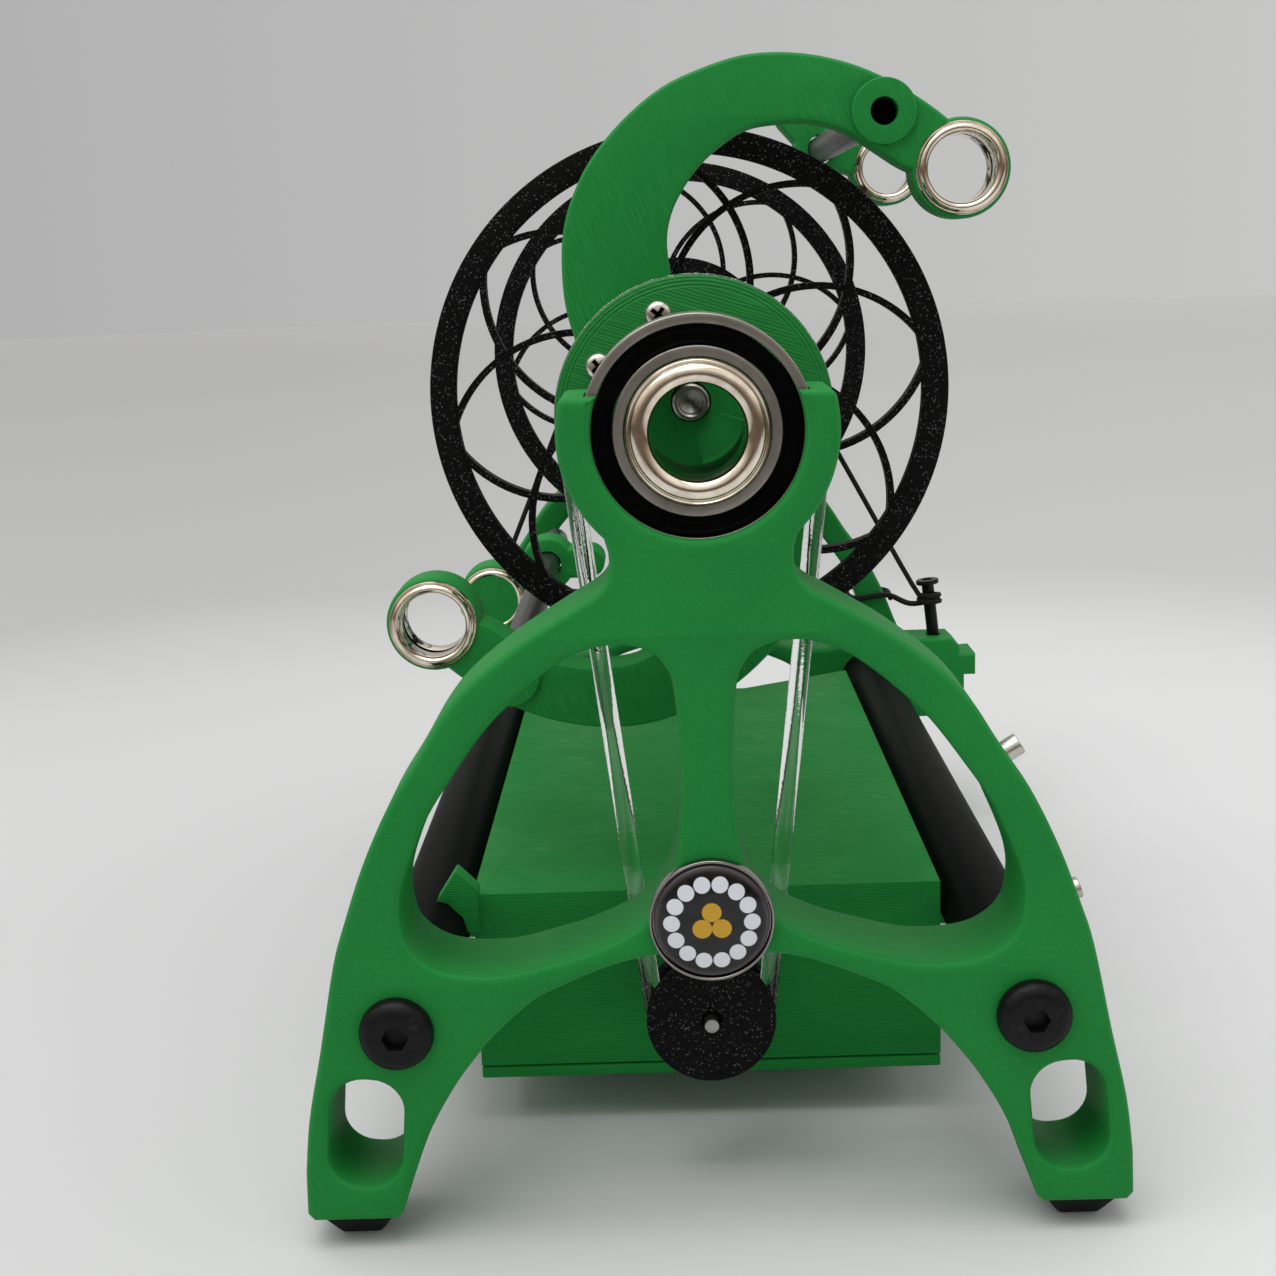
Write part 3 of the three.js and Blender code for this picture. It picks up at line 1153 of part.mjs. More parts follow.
// Flyer shaft with its collar and the rear bearing's inner ring
const raceBack = REAR_SEAT_FRONT + REAR_BEARING_WIDTH;
piece(flyer, 'flyer_shaft', 'steel', turned([
  [0, ARM_FRONT - SHAFT_LEAD], [SHAFT_R - GAP, ARM_FRONT - SHAFT_LEAD],
  [SHAFT_R, ARM_FRONT - SHAFT_LEAD + GAP], [SHAFT_R, raceBack + RUN_GAP], [0, raceBack + RUN_GAP],
], SMALL));
piece(flyer, 'shaft_collar', 'steel', tube(
  COLLAR_R, SHAFT_R + GAP, COLLAR_FRONT, COLLAR_FRONT + COLLAR_THICK, SMALL,
));
piece(flyer, 'rear_bearing_inner', 'steel', tube(REAR_RING_R, SHAFT_R + GAP, REAR_SEAT_FRONT, raceBack, ROUND));

// Bobbin: two pierced flanges on a core, their bores running on the shaft, the brake groove behind
function lacedFlange(front) {
  const back = front + FLANGE_THICK;
  const rimMid = ((1 + RIM_SHARE) * FLANGE_R) / 2;
  const rings = [];
  for (let i = 0; i < LACE_COUNT; i += 1) {
    const [x, z] = polar(LACE_TURN + (360 * i) / LACE_COUNT, LACE_REACH_SHARE * FLANGE_R);
    const r = LACE_SHARE * FLANGE_R;
    rings.push(tube(r + LACE_WIDE / 2, r - LACE_WIDE / 2, front, back, 2 * TINY, x, z));
  }
  return joined(
    tube(FLANGE_R, RIM_SHARE * FLANGE_R, front, back, FINE),
    rod(BOBBIN_HUB_R, front, back, ROUND),
    joined(...rings).intersect(rod(rimMid, front, back, FINE)),
  );
}
const spigotR = CORE_R - CORE_WALL - GAP;
const coreFront = BOBBIN_FRONT + FLANGE_THICK;
const noseFront = ARM_BACK + 2 * RUN_GAP;
piece(wheel, 'bobbin_flange_front', 'black', cut(
  joined(
    lacedFlange(BOBBIN_FRONT),
    rod(NOSE_R, noseFront, BOBBIN_FRONT + GAP, SMALL),
    rod(spigotR, coreFront - GAP, coreFront + SPIGOT_LONG, SMALL),
  ),
  rod(SHAFT_R + RUN_GAP, noseFront - CUT_OVER, coreFront + SPIGOT_LONG + CUT_OVER, SMALL),
));
const whorlFront = WHORL_BACK - WHORL_LONG;
piece(wheel, 'bobbin_flange_rear', 'black', cut(
  joined(
    lacedFlange(BOBBIN_REAR),
    turned([
      [0, whorlFront - GAP], [WHORL_R, whorlFront - GAP], [WHORL_R, whorlFront + WHORL_RIM],
      [WHORL_GROOVE_R, whorlFront + 2 * WHORL_RIM], [WHORL_GROOVE_R, WHORL_BACK - 2 * WHORL_RIM],
      [WHORL_R, WHORL_BACK - WHORL_RIM], [WHORL_R, WHORL_BACK], [0, WHORL_BACK],
    ], ROUND),
    rod(spigotR, BOBBIN_REAR - SPIGOT_LONG, BOBBIN_REAR + GAP, SMALL),
  ),
  rod(SHAFT_R + RUN_GAP, BOBBIN_REAR - SPIGOT_LONG - CUT_OVER, WHORL_BACK + CUT_OVER, SMALL),
));
piece(wheel, 'bobbin_core', 'black', tube(CORE_R, CORE_R - CORE_WALL, coreFront, BOBBIN_REAR, ROUND));

// Stand the whole on z = 0 with its box centred over the origin
const frontMost = PLATE_FRONT - BOLT_HEAD_TALL;
const rearMost = REAR_BACK + BOLT_HEAD_TALL;
wheel.position.set(-(TAB_OUT - FOOT_HALF) / 2, -(frontMost + rearMost) / 2, PLATE_DROP + FOOT_HEIGHT);

export default wheel;
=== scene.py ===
import math

import bpy
from mathutils import Matrix, Vector


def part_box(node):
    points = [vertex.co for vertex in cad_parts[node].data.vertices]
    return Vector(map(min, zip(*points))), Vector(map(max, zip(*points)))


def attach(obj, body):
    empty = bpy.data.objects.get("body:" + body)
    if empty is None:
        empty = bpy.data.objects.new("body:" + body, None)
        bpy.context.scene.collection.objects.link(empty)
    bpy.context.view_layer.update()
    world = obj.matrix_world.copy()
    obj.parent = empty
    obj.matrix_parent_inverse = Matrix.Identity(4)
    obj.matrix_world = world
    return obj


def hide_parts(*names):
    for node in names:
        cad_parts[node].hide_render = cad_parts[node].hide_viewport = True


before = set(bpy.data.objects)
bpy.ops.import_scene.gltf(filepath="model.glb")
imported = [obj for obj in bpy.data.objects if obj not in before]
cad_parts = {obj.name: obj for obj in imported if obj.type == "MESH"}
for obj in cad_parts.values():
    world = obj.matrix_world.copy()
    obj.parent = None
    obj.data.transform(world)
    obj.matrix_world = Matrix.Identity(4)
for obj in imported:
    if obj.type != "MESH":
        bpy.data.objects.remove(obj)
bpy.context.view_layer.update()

# Camera: a phone lens held low in front of the wheel, level with the orifice and looking a
# little down, on the photograph's square frame. Sizes below are millimetres from the flyer's
# axis at the front bearing's face, as in the drawing of the parts.
MM = 0.001
bearing_low, bearing_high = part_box("front_bearing_race")
AXIS = Vector((
    (bearing_low.x + bearing_high.x) / 2, bearing_low.y, (bearing_low.z + bearing_high.z) / 2,
))


def at(x, y, z):
    return AXIS + Vector((x, y, z)) * MM


def look(pitch, yaw, roll):
    ahead = Vector((math.sin(yaw) * math.cos(pitch), math.cos(yaw) * math.cos(pitch), -math.sin(pitch)))
    level = Vector((math.cos(yaw), -math.sin(yaw), 0))
    down = ahead.cross(level)
    right = math.cos(roll) * level + math.sin(roll) * down
    below = math.cos(roll) * down - math.sin(roll) * level
    return Matrix((right, -below, -ahead)).transposed().to_4x4()


FOCAL_PX, FRAME_PX, SENSOR = 1900, 1276, 36
EYE, PITCH, YAW, ROLL = (-4.787, -258.294, 24.530), 0.2016339, -0.0165796, 0.0351906
bpy.ops.object.camera_add()
camera = bpy.context.object
camera.matrix_world = Matrix.Translation(at(*EYE)) @ look(PITCH, YAW, ROLL)
camera.data.sensor_width = SENSOR
camera.data.lens = FOCAL_PX / FRAME_PX * SENSOR
camera.data.clip_start = 0.01
bpy.context.scene.camera = camera
bpy.context.scene.view_settings.view_transform = "Standard"

# Front and rear frame plates: flat blades of green PLA, each printed lying on its face, with
# the windows, foot slots and a chamfer printed in. The face keeps the bed's sandy texture, with
# glints painted on it, and the walls show the layers and are painted paler green for the light
# they catch. They are held to the tubes by one bolt in each foot.
FOOT_HALF, PLATE_DROP = 60.8, 114.4
PLATE_FRONT, PLATE_THICK, PLATE_EDGE = -1.6, 16.4, 1.1
REAR_FRONT, REAR_THICK = 216, 15
BEARING_R, BEARING_WIDTH, GAP = 16, 7, 0.3
REAR_BEARING_R, REAR_BEARING_WIDTH, REAR_SEAT = 9.5, 6, 217.6
TUBE_OUT, TUBE_DROP, TUBE_R, TUBE_SOCKET = 45.8, 84.8, 6.5, 3
BOLT_SHANK_R = 2
SIDE_SHARES = [
    (0.210, -0.140), (0.209, -0.157), (0.219, -0.177), (0.247, -0.192), (0.293, -0.206),
    (0.362, -0.228), (0.436, -0.253), (0.543, -0.297), (0.610, -0.337), (0.674, -0.392),
    (0.745, -0.450), (0.812, -0.524), (0.865, -0.600), (0.898, -0.656), (0.942, -0.769),
    (0.980, -0.861), (0.997, -0.935), (1.000, -0.990), (0.984, -1.000),
]
ARCH_SHARES = [
    (0.780, -1.000), (0.766, -0.991), (0.724, -0.927), (0.683, -0.874), (0.625, -0.821),
    (0.569, -0.781), (0.521, -0.752), (0.428, -0.708), (0.354, -0.688), (0.252, -0.666),
    (0.171, -0.655), (0.082, -0.649),
]
WINDOW_SHARES = [
    (0.072, -0.311), (0.084, -0.288), (0.112, -0.268), (0.158, -0.257), (0.215, -0.254),
    (0.285, -0.262), (0.352, -0.281), (0.433, -0.316), (0.515, -0.359), (0.599, -0.420),
    (0.650, -0.461), (0.678, -0.493), (0.706, -0.529), (0.724, -0.559), (0.730, -0.590),
    (0.717, -0.628), (0.679, -0.652), (0.625, -0.666), (0.549, -0.671), (0.470, -0.669),
    (0.375, -0.657), (0.281, -0.642), (0.191, -0.620), (0.138, -0.596), (0.099, -0.564),
    (0.076, -0.524), (0.064, -0.455), (0.062, -0.385),
]


def polar(turn, r):
    return r * math.cos(math.radians(turn)), r * math.sin(math.radians(turn))


def arc(x, z, r, start, end, steps):
    turns = [start + (end - start) * i / steps for i in range(steps + 1)]
    return [(x + polar(t, r)[0], z + polar(t, r)[1]) for t in turns]


def smoothed(points, steps, closed=False):
    """A flowing line through the points, with that many steps from one to the next."""
    line, last = [], len(points) - 1
    for i in range(last + 1 if closed else last):
        around = range(i - 1, i + 3)
        near = [points[k % (last + 1)] if closed else points[min(max(k, 0), last)] for k in around]
        for k in range(steps):
            t = k / steps
            line.append(tuple(
                0.5 * (
                    2 * b + (c - a) * t + (2 * a - 5 * b + 4 * c - d) * t**2
                    + (3 * b - a - 3 * c + d) * t**3
                )
                for a, b, c, d in zip(*near)
            ))
    return line if closed else line + [points[-1]]


def mirrored(points):
    return [(-x, z) for x, z in reversed(points)]


def deselect():
    bpy.ops.object.select_all(action="DESELECT")


def take(piece):
    deselect()
    piece.select_set(True)
    bpy.context.view_layer.objects.active = piece
    return piece


def edited(piece, *steps):
    """Runs edit-mode operators on all of the piece's mesh."""
    take(piece)
    bpy.ops.object.mode_set(mode="EDIT")
    bpy.ops.mesh.select_all(action="SELECT")
    for step in steps:
        step()
    bpy.ops.object.mode_set(mode="OBJECT")
    return piece


def closed_up(piece):
    return edited(
        piece,
        lambda: bpy.ops.mesh.remove_doubles(threshold=2e-6),
        lambda: bpy.ops.mesh.dissolve_degenerate(threshold=1e-7),
        lambda: bpy.ops.mesh.normals_make_consistent(inside=False),
    )


def settled(piece):
    """Puts the piece's place in its mesh, with its object at the origin."""
    take(piece)
    bpy.ops.object.transform_apply(location=True, rotation=True, scale=True)
    return piece


def cut_out(name, outline, holes, y0, y1, edge, rounds=2):
    """A plate cut to an outline in x and z, with its edges rounded over."""
    deselect()
    bpy.ops.curve.primitive_bezier_circle_add(radius=1)
    blank = bpy.context.object
    shape = blank.data
    shape.dimensions, shape.fill_mode = "2D", "BOTH"
    shape.splines.clear()
    for line in [outline, *holes]:
        spline = shape.splines.new("POLY")
        spline.points.add(len(line) - 1)
        spline.points.foreach_set("co", [c for x, z in line for c in (x * MM, z * MM, 0, 1)])
        spline.use_cyclic_u = True
    shape.extrude = ((y1 - y0) / 2 - edge) * MM
    shape.bevel_depth, shape.offset, shape.bevel_resolution = edge * MM, -edge * MM, rounds
    take(blank)
    bpy.ops.object.convert(target="MESH")
    piece = bpy.context.object
    piece.name = name
    piece.location = at(0, (y0 + y1) / 2, 0)
    piece.rotation_euler = (math.pi / 2, 0, 0)
    return closed_up(settled(piece))


def turned(name, profile, x=0, z=0, steps=96, lie="Y"):
    """A piece turned on a lathe from a closed profile of (radius, place along the axis)."""
    deselect()
    bpy.ops.mesh.primitive_circle_add(vertices=len(profile), fill_type="NOTHING", radius=1)
    piece = bpy.context.object
    piece.name = name
    spot = {"Y": lambda r, a: (r, a, 0), "X": lambda r, a: (a, r, 0), "Z": lambda r, a: (r, 0, a)}[lie]
    for corner, (r, along) in zip(piece.data.vertices, profile):
        corner.co = Vector(spot(r, along)) * MM
    centre = {"Y": (x, 0, z), "X": (0, x, z), "Z": (x, z, 0)}[lie]
    axis = {"Y": (0, 1, 0), "X": (1, 0, 0), "Z": (0, 0, 1)}[lie]
    edited(piece, lambda: bpy.ops.mesh.spin(
        steps=steps, angle=2 * math.pi, center=(0, 0, 0), axis=axis, use_auto_merge=True,
    ))
    piece.location = at(*centre)
    return closed_up(settled(piece))


def rounded(profile, r, steps=3):
    """The closed profile with each corner rounded, but for those on the axis."""
    line = []
    for i, corner in enumerate(profile):
        here = Vector(corner)
        back, on = Vector(profile[i - 1]) - here, Vector(profile[(i + 1) % len(profile)]) - here
        reach = min(r, back.length / 2.2, on.length / 2.2)
        if here.x < 1e-6 or back.length < 1e-6 or on.length < 1e-6:
            line.append(tuple(corner))
            continue
        a, b = here + back.normalized() * reach, here + on.normalized() * reach
        for k in range(steps + 1):
            t = k / steps
            line.append(tuple((1 - t) ** 2 * a + 2 * t * (1 - t) * here + t**2 * b))
    return line


def joined_with(piece, tool, operation):
    take(piece)
    step = piece.modifiers.new("join", "BOOLEAN")
    step.object, step.operation, step.solver = tool, operation, "EXACT"
    bpy.ops.object.modifier_apply(modifier=step.name)
    bpy.data.objects.remove(tool)
    return piece


def without(piece, *tools):
    for tool in tools:
        joined_with(piece, tool, "DIFFERENCE")
    return piece


def together(piece, *others):
    for other in others:
        joined_with(piece, other, "UNION")
    return piece


def bar(r, y0, y1):
    """The profile of a plain round bar."""
    return [(0, y0), (r, y0), (r, y1), (0, y1)]


def drill(r, y0, y1, x=0, z=0, steps=64):
    return turned("drill", bar(r, y0, y1), x, z, steps)


def disc(r, y0, y1, edge, x=0, z=0, steps=72, name="disc"):
    return turned(name, rounded(bar(r, y0, y1), edge), x, z, steps)


def tube_sockets(y0, y1):
    return [drill(TUBE_R + GAP, y0, y1, side * TUBE_OUT, -TUBE_DROP) for side in (-1, 1)]


def brick(centre, size, turn=0):
    """A square block, turned about y."""
    deselect()
    bpy.ops.mesh.primitive_cube_add(size=1, location=at(*centre))
    piece = bpy.context.object
    piece.scale = [side * MM for side in size]
    piece.rotation_euler = (0, math.radians(turn), 0)
    return settled(piece)


def rounded_off(piece, width, segments=2, limit=30):
    """Rounds every edge that turns more than the limit."""
    take(piece)
    step = piece.modifiers.new("round", "BEVEL")
    step.width, step.segments, step.limit_method = width * MM, segments, "ANGLE"
    step.angle_limit, step.use_clamp_overlap = math.radians(limit), True
    bpy.ops.object.modifier_apply(modifier=step.name)
    return piece


def round_line(name, points, r, sides=24, closed=False):
    """A round cord or belt along points, made as a bevelled curve."""
    deselect()
    bpy.ops.curve.primitive_bezier_circle_add(radius=1)
    line = bpy.context.object
    shape = line.data
    shape.dimensions, shape.twist_mode = "3D", "MINIMUM"
    shape.splines.clear()
    spline = shape.splines.new("POLY")
    spline.points.add(len(points) - 1)
    spline.points.foreach_set("co", [c for spot in points for c in (*at(*spot), 1)])
    spline.use_cyclic_u = closed
    shape.bevel_depth, shape.bevel_resolution, shape.use_fill_caps = r * MM, sides // 4 - 1, not closed
    take(line)
    bpy.ops.object.convert(target="MESH")
    piece = bpy.context.object
    piece.name = name
    return closed_up(piece)


def between(a, b, start, end, u):
    """The spot at u on the line that is at a at start and at b at end."""
    return a * ((end - u) / (end - start)) + b * ((u - start) / (end - start))


def flowing(points, steps):
    """A smooth line in space through the points, which may lie near or far apart."""
    line = []
    for i in range(len(points) - 1):
        near = [Vector(points[min(max(k, 0), len(points) - 1)]) for k in range(i - 1, i + 3)]
        if i == 0:
            near[0] = 2 * near[1] - near[2]
        if i == len(points) - 2:
            near[3] = 2 * near[2] - near[1]
        t = [0.0]
        for a, b in zip(near, near[1:]):
            t.append(t[-1] + max((b - a).length, 1e-6) ** 0.5)
        for k in range(steps):
            u = t[1] + (t[2] - t[1]) * k / steps
            a = [between(near[j], near[j + 1], t[j], t[j + 1], u) for j in range(3)]
            b = [between(a[j], a[j + 1], t[j], t[j + 2], u) for j in range(2)]
            line.append(tuple(between(b[0], b[1], t[1], t[2], u)))
    return line + [tuple(points[-1])]


def fitted(piece, finish, body, node, smooth=32):
    """Finishes a piece: smooth shading, its material, the body that carries it and its node."""
    take(piece)
    bpy.ops.object.shade_smooth_by_angle(angle=math.radians(smooth))
    piece.data.materials.clear()
    piece.data.materials.append(finish)
    for face in piece.data.polygons:
        face.material_index = 0
    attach(piece, body)
    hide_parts(node)
    return piece


class Value:
    """A number that varies over a surface; an expression on it adds Math nodes."""

    def __init__(self, nodes, socket):
        self.nodes, self.socket = nodes, socket

    def math(self, operation, *others):
        return self.nodes.node("ShaderNodeMath", {"operation": operation}, self, *others)

    def __rsub__(self, other):
        return self.nodes.node("ShaderNodeMath", {"operation": "SUBTRACT"}, other, self)

    def __add__(self, other): return self.math("ADD", other)
    def __radd__(self, other): return self.math("ADD", other)
    def __sub__(self, other): return self.math("SUBTRACT", other)
    def __mul__(self, other): return self.math("MULTIPLY", other)
    def __rmul__(self, other): return self.math("MULTIPLY", other)
    def __truediv__(self, other): return self.math("DIVIDE", other)
    def __pow__(self, other): return self.math("POWER", other)
    def __gt__(self, other): return self.math("GREATER_THAN", other)


class Nodes:
    """A node tree, its nodes written as expressions."""

    def __init__(self, tree):
        self.tree = tree

    def node(self, kind, settings, *values, out=0, **named):
        node = self.tree.nodes.new(kind)
        for key, value in settings.items():
            setattr(node, key, value)
        for key, value in [*enumerate(values), *named.items()]:
            self.plug(value, node.inputs[key])
        return Value(self, node.outputs[out])

    def plug(self, value, socket):
        if isinstance(value, Value):
            self.tree.links.new(value.socket, socket)
        else:
            socket.default_value = (*value, 1) if socket.type == "RGBA" and len(value) == 3 else value

    def ramp(self, value, stops):
        """Colours by a value, from stops of (value, colour)."""
        node = self.tree.nodes.new("ShaderNodeValToRGB")
        while len(node.color_ramp.elements) < len(stops):
            node.color_ramp.elements.new(0.5)
        for element, (place, colour) in zip(node.color_ramp.elements, stops):
            element.position, element.color = place, (*colour, 1)
        self.plug(value, node.inputs[0])
        return Value(self, node.outputs[0])

    def xyz(self, vector):
        node = self.tree.nodes.new("ShaderNodeSeparateXYZ")
        self.plug(vector, node.inputs[0])
        return [Value(self, socket) for socket in node.outputs]

    def soft(self, value, low, high):
        smooth = {"interpolation_type": "SMOOTHSTEP"}
        return self.node("ShaderNodeMapRange", smooth, value, low, high, 0.0, 1.0)

    def mix(self, share, a, b, blend="MIX"):
        node = self.tree.nodes.new("ShaderNodeMix")
        node.data_type, node.blend_type = "RGBA", blend
        for key, value in ((0, share), (6, a), (7, b)):
            self.plug(value, node.inputs[key])
        return Value(self, node.outputs[2])


class Finish(Nodes):
    """One material, on object coordinates in millimetres from the flyer's axis."""

    def __init__(self, name, **settings):
        self.material = bpy.data.materials.new(name)
        self.material.use_nodes = True
        super().__init__(self.material.node_tree)
        self.shader = next(n for n in self.tree.nodes if n.type == "BSDF_PRINCIPLED")
        for socket, value in settings.items():
            self.shader.inputs[socket.replace("_", " ")].default_value = value
        self.facing = self.node("ShaderNodeTexCoord", {}, out="Normal")
        spot = self.node("ShaderNodeTexCoord", {}, out="Object")
        spot = self.node("ShaderNodeVectorMath", {"operation": "SCALE"}, spot, Scale=1 / MM)
        self.spot = self.node("ShaderNodeVectorMath", {"operation": "SUBTRACT"}, spot, tuple(AXIS / MM))

    def stretched(self, x, y, z):
        return self.node("ShaderNodeVectorMath", {"operation": "MULTIPLY"}, self.spot, (x, y, z))

    def noise(self, scale, detail=3, rough=0.55, where=None):
        place = where or self.spot
        return self.node("ShaderNodeTexNoise", {}, Vector=place, Scale=scale, Detail=detail, Roughness=rough)

    def cells(self, scale, out):
        return self.node("ShaderNodeTexVoronoi", {}, Vector=self.spot, Scale=scale, out=out)

    def reach(self, x, z):
        """How far a spot lies from the line along y through x, z."""
        here_x, _, here_z = self.xyz(self.spot)
        return ((here_x - x) ** 2 + (here_z - z) ** 2) ** 0.5

    def streaks(self, across, along, detail):
        place = self.node("ShaderNodeCombineXYZ", {}, across, along, 0.0)
        return self.node("ShaderNodeTexNoise", {}, Scale=1.0, Detail=detail, Vector=place)

    def rings(self, reach, scale, detail):
        line = {"noise_dimensions": "1D"}
        return self.node("ShaderNodeTexNoise", line, W=reach, Scale=scale, Detail=detail)

    def bump(self, height, deep):
        """Deep is the height of 1, in millimetres."""
        return self.put(Normal=self.node("ShaderNodeBump", {}, Height=height, Distance=deep * MM))

    def put(self, **sockets):
        for name, value in sockets.items():
            self.plug(value, self.shader.inputs[name.replace("_", " ")])
        return self


def waves(value, pitch):
    """Even ridges, from 0 to 1, each pitch long."""
    return (value * (2 * math.pi / pitch)).math("SINE") * 0.5 + 0.5


def mottled(name, mottle, tones, rough, grain, deep, **settings):
    """A plain moulded finish. mottle and grain are the scale and detail of its noises."""
    finish = Finish(name, **settings)
    patch = finish.noise(*mottle)
    finish.put(Base_Color=finish.mix(patch, *tones), Roughness=patch * rough[0] + rough[1])
    return finish.bump(finish.noise(*grain), deep).material


GREEN = (0.0132, 0.228, 0.040)
GREEN_DEEP = (0.0085, 0.183, 0.030)
# The paler green painted where light falls: on lit walls, and as glints and sheen
GREEN_PAINTED_LIGHT = (0.040, 0.370, 0.085)
LAYER, STROKE = 0.42, 0.45


def printed_green(name, stack, top, sheen=0.12):
    """Green PLA. stack is the axis that the layers pile up along, 0 to 2; top is sand or lines."""
    finish = Finish(name, Roughness=0.5, Specular_IOR_Level=sheen)
    spots, facing = finish.xyz(finish.spot), finish.xyz(finish.facing)
    flat = finish.soft(facing[stack].math("ABSOLUTE"), 0.8, 0.95)
    wander = finish.noise(0.09, 2)
    ridges = ((spots[stack] * (2 * math.pi / LAYER) + wander * 2.5).math("SINE") + 1) * 0.5
    patchy = finish.noise(0.5, 3)
    walls = ridges * (0.35 + patchy * 0.9)
    if top == "sand":
        grain = finish.noise(3.4, 2, 0.7)
        # Painted glints: scattered cells of the flat face, painted paler green below
        bright = finish.soft(finish.xyz(finish.cells(4.8, 1))[0], 0.84, 0.98) * flat
        face = grain * 0.9 + bright * 0.6
    else:
        u = (spots[0] * 0.94 + spots[2] * 0.34) if stack == 1 else (spots[0] * 0.5 + spots[1] * 0.87)
        v = (spots[2] * 0.94 - spots[0] * 0.34) if stack == 1 else (spots[1] * 0.5 - spots[0] * 0.87)
        grain = (u * (2 * math.pi / STROKE) + wander * 0.8).math("SINE") * 0.5 + 0.5
        strokes = finish.streaks(u * 2.3, v * 0.22, 3.0)
        # Painted sheen: the patches in which the strokes' sheen is painted paler green below
        wear_and_sheen = finish.soft(finish.noise(0.05, 2), 0.4, 0.62) * 0.8 + 0.2
        bright = finish.soft(strokes * 0.75 + grain * 0.25, 0.46, 0.72) * wear_and_sheen * flat
        face = grain * 0.5 + strokes * 0.9
    tone = finish.mix(finish.soft(finish.noise(0.045, 3), 0.3, 0.7) * 0.4 + 0.5, GREEN_DEEP, GREEN)
    # Painted light: the walls are painted paler than the face, most of all on their layer ridges, for the
    # light they catch
    tone = finish.mix((1 - flat) * (ridges * 0.2 + 0.06), tone, GREEN_PAINTED_LIGHT)
    # Painted highlights: the glints or sheen in bright are painted paler green on the face
    tone = finish.mix(bright * (0.26 if top == "sand" else 0.42), tone, GREEN_PAINTED_LIGHT)
    finish.put(Base_Color=tone, Roughness=0.56 - bright * 0.24 + (1 - flat) * (patchy * 0.16 - 0.1))
    return finish.bump(face * flat + walls * (1 - flat) * 0.8, 0.055).material


plate_green = printed_green("plate_green", 1, "sand")
HORN_TOP_R, HEAD_LEAN = 1.4, 2
SLOT_OUT, SLOT_DROP, SLOT_WIDE, SLOT_TALL, SLOT_ROUND, SLOT_LEAN = 51.3, 100.7, 10.8, 16.6, 4.9, 5
SLUMP_FROM, SLUMP_TO, SLUMP_ABOVE, REAR_SLUMP = 0.24, 0.95, -0.62, 0.022


def placed(shares, slump):
    line = []
    for x, z in shares:
        if SLUMP_FROM <= x <= SLUMP_TO and z >= SLUMP_ABOVE:
            z -= slump * math.sin(math.pi * (x - SLUMP_FROM) / (SLUMP_TO - SLUMP_FROM))
        line.append((x * FOOT_HALF, z * PLATE_DROP))
    return line


def frame_plate(name, y0, thick, head_r, rise, notch_r, slump):
    side, arch = placed(SIDE_SHARES, slump), placed(ARCH_SHARES, 0)
    top = math.degrees(math.asin((rise - HORN_TOP_R) / head_r))
    neck = math.degrees(math.asin(side[0][0] / head_r)) + HEAD_LEAN
    head = arc(0, 0, head_r, top, neck - 90, 28)
    tip = arc(head_r * math.cos(math.radians(top)) - HORN_TOP_R, rise - HORN_TOP_R, HORN_TOP_R, 90, top, 5)
    notch_top = math.degrees(math.asin(rise / notch_r))
    right = tip + head[1:] + smoothed(side[:-2], 4) + side[-2:] + [arch[0]] + smoothed(arch[1:], 4)
    line = right + mirrored(right) + arc(0, 0, notch_r, 180 - notch_top, 360 + notch_top, 48)
    window = smoothed(placed(WINDOW_SHARES, slump), 4, closed=True)
    lean, slot = math.radians(SLOT_LEAN), []
    across, up = SLOT_WIDE / 2 - SLOT_ROUND, SLOT_TALL / 2 - SLOT_ROUND
    for x, z, turn in ((across, up, 0), (-across, up, 90), (-across, -up, 180), (across, -up, 270)):
        for a, b in arc(x, z, SLOT_ROUND, turn, turn + 90, 8):
            slot.append((
                SLOT_OUT + a * math.cos(lean) - b * math.sin(lean),
                -SLOT_DROP + a * math.sin(lean) + b * math.cos(lean),
            ))
    holes = [window, mirrored(window), slot, mirrored(slot)]
    holes += [arc(side * TUBE_OUT, -TUBE_DROP, BOLT_SHANK_R + GAP, 0, 352, 44) for side in (-1, 1)]
    return cut_out(name, line, holes, y0, y0 + thick, PLATE_EDGE)


HEAD_R, HORN_RISE, NOTCH_R, REAR_HEAD_R, REAR_HORN_RISE, REAR_NOTCH_R = 19.4, 5.3, 14.6, 15.6, 3.6, 8.2
plate = frame_plate("front_plate_print", PLATE_FRONT, PLATE_THICK, HEAD_R, HORN_RISE, NOTCH_R, 0)
plate_back = PLATE_FRONT + PLATE_THICK
cradle = drill(BEARING_R + GAP, -GAP, BEARING_WIDTH + GAP, steps=96)
without(plate, cradle, *tube_sockets(plate_back - TUBE_SOCKET, plate_back + 1))
fitted(plate, plate_green, "frame", "front_plate")

POST_OUT, POST_DROP, POST_R, POST_HOLE_R, POST_FRONT = 47.9, 58, 4.9, 1.6, 204.1
rear = ("rear_plate_print", REAR_FRONT, REAR_THICK, REAR_HEAD_R, REAR_HORN_RISE, REAR_NOTCH_R)
plate = frame_plate(*rear, REAR_SLUMP)
together(plate, disc(POST_R, POST_FRONT, REAR_FRONT + 5, 0.6, -POST_OUT, -POST_DROP, 48))
without(
    plate, drill(REAR_BEARING_R + GAP, REAR_SEAT - GAP, REAR_SEAT + REAR_BEARING_WIDTH + GAP, steps=96),
    *tube_sockets(REAR_FRONT - 1, REAR_FRONT + TUBE_SOCKET),
    drill(POST_HOLE_R, POST_FRONT - 1, REAR_FRONT + REAR_THICK + 1, -POST_OUT, -POST_DROP, 32),
)
fitted(plate, plate_green, "frame", "rear_plate")

# Ball bearings: a sealed 20 x 32 x 7 mm one that snaps into the front plate's cradle and lets
# the yarn pass through it, and a small one behind. Ground steel rings, and black rubber seals
# with a moulded lip, left bare.


def ring_profile(outer, inner, y0, y1, edge=0.35):
    return rounded([(inner, y0), (outer, y0), (outer, y1), (inner, y1)], edge)


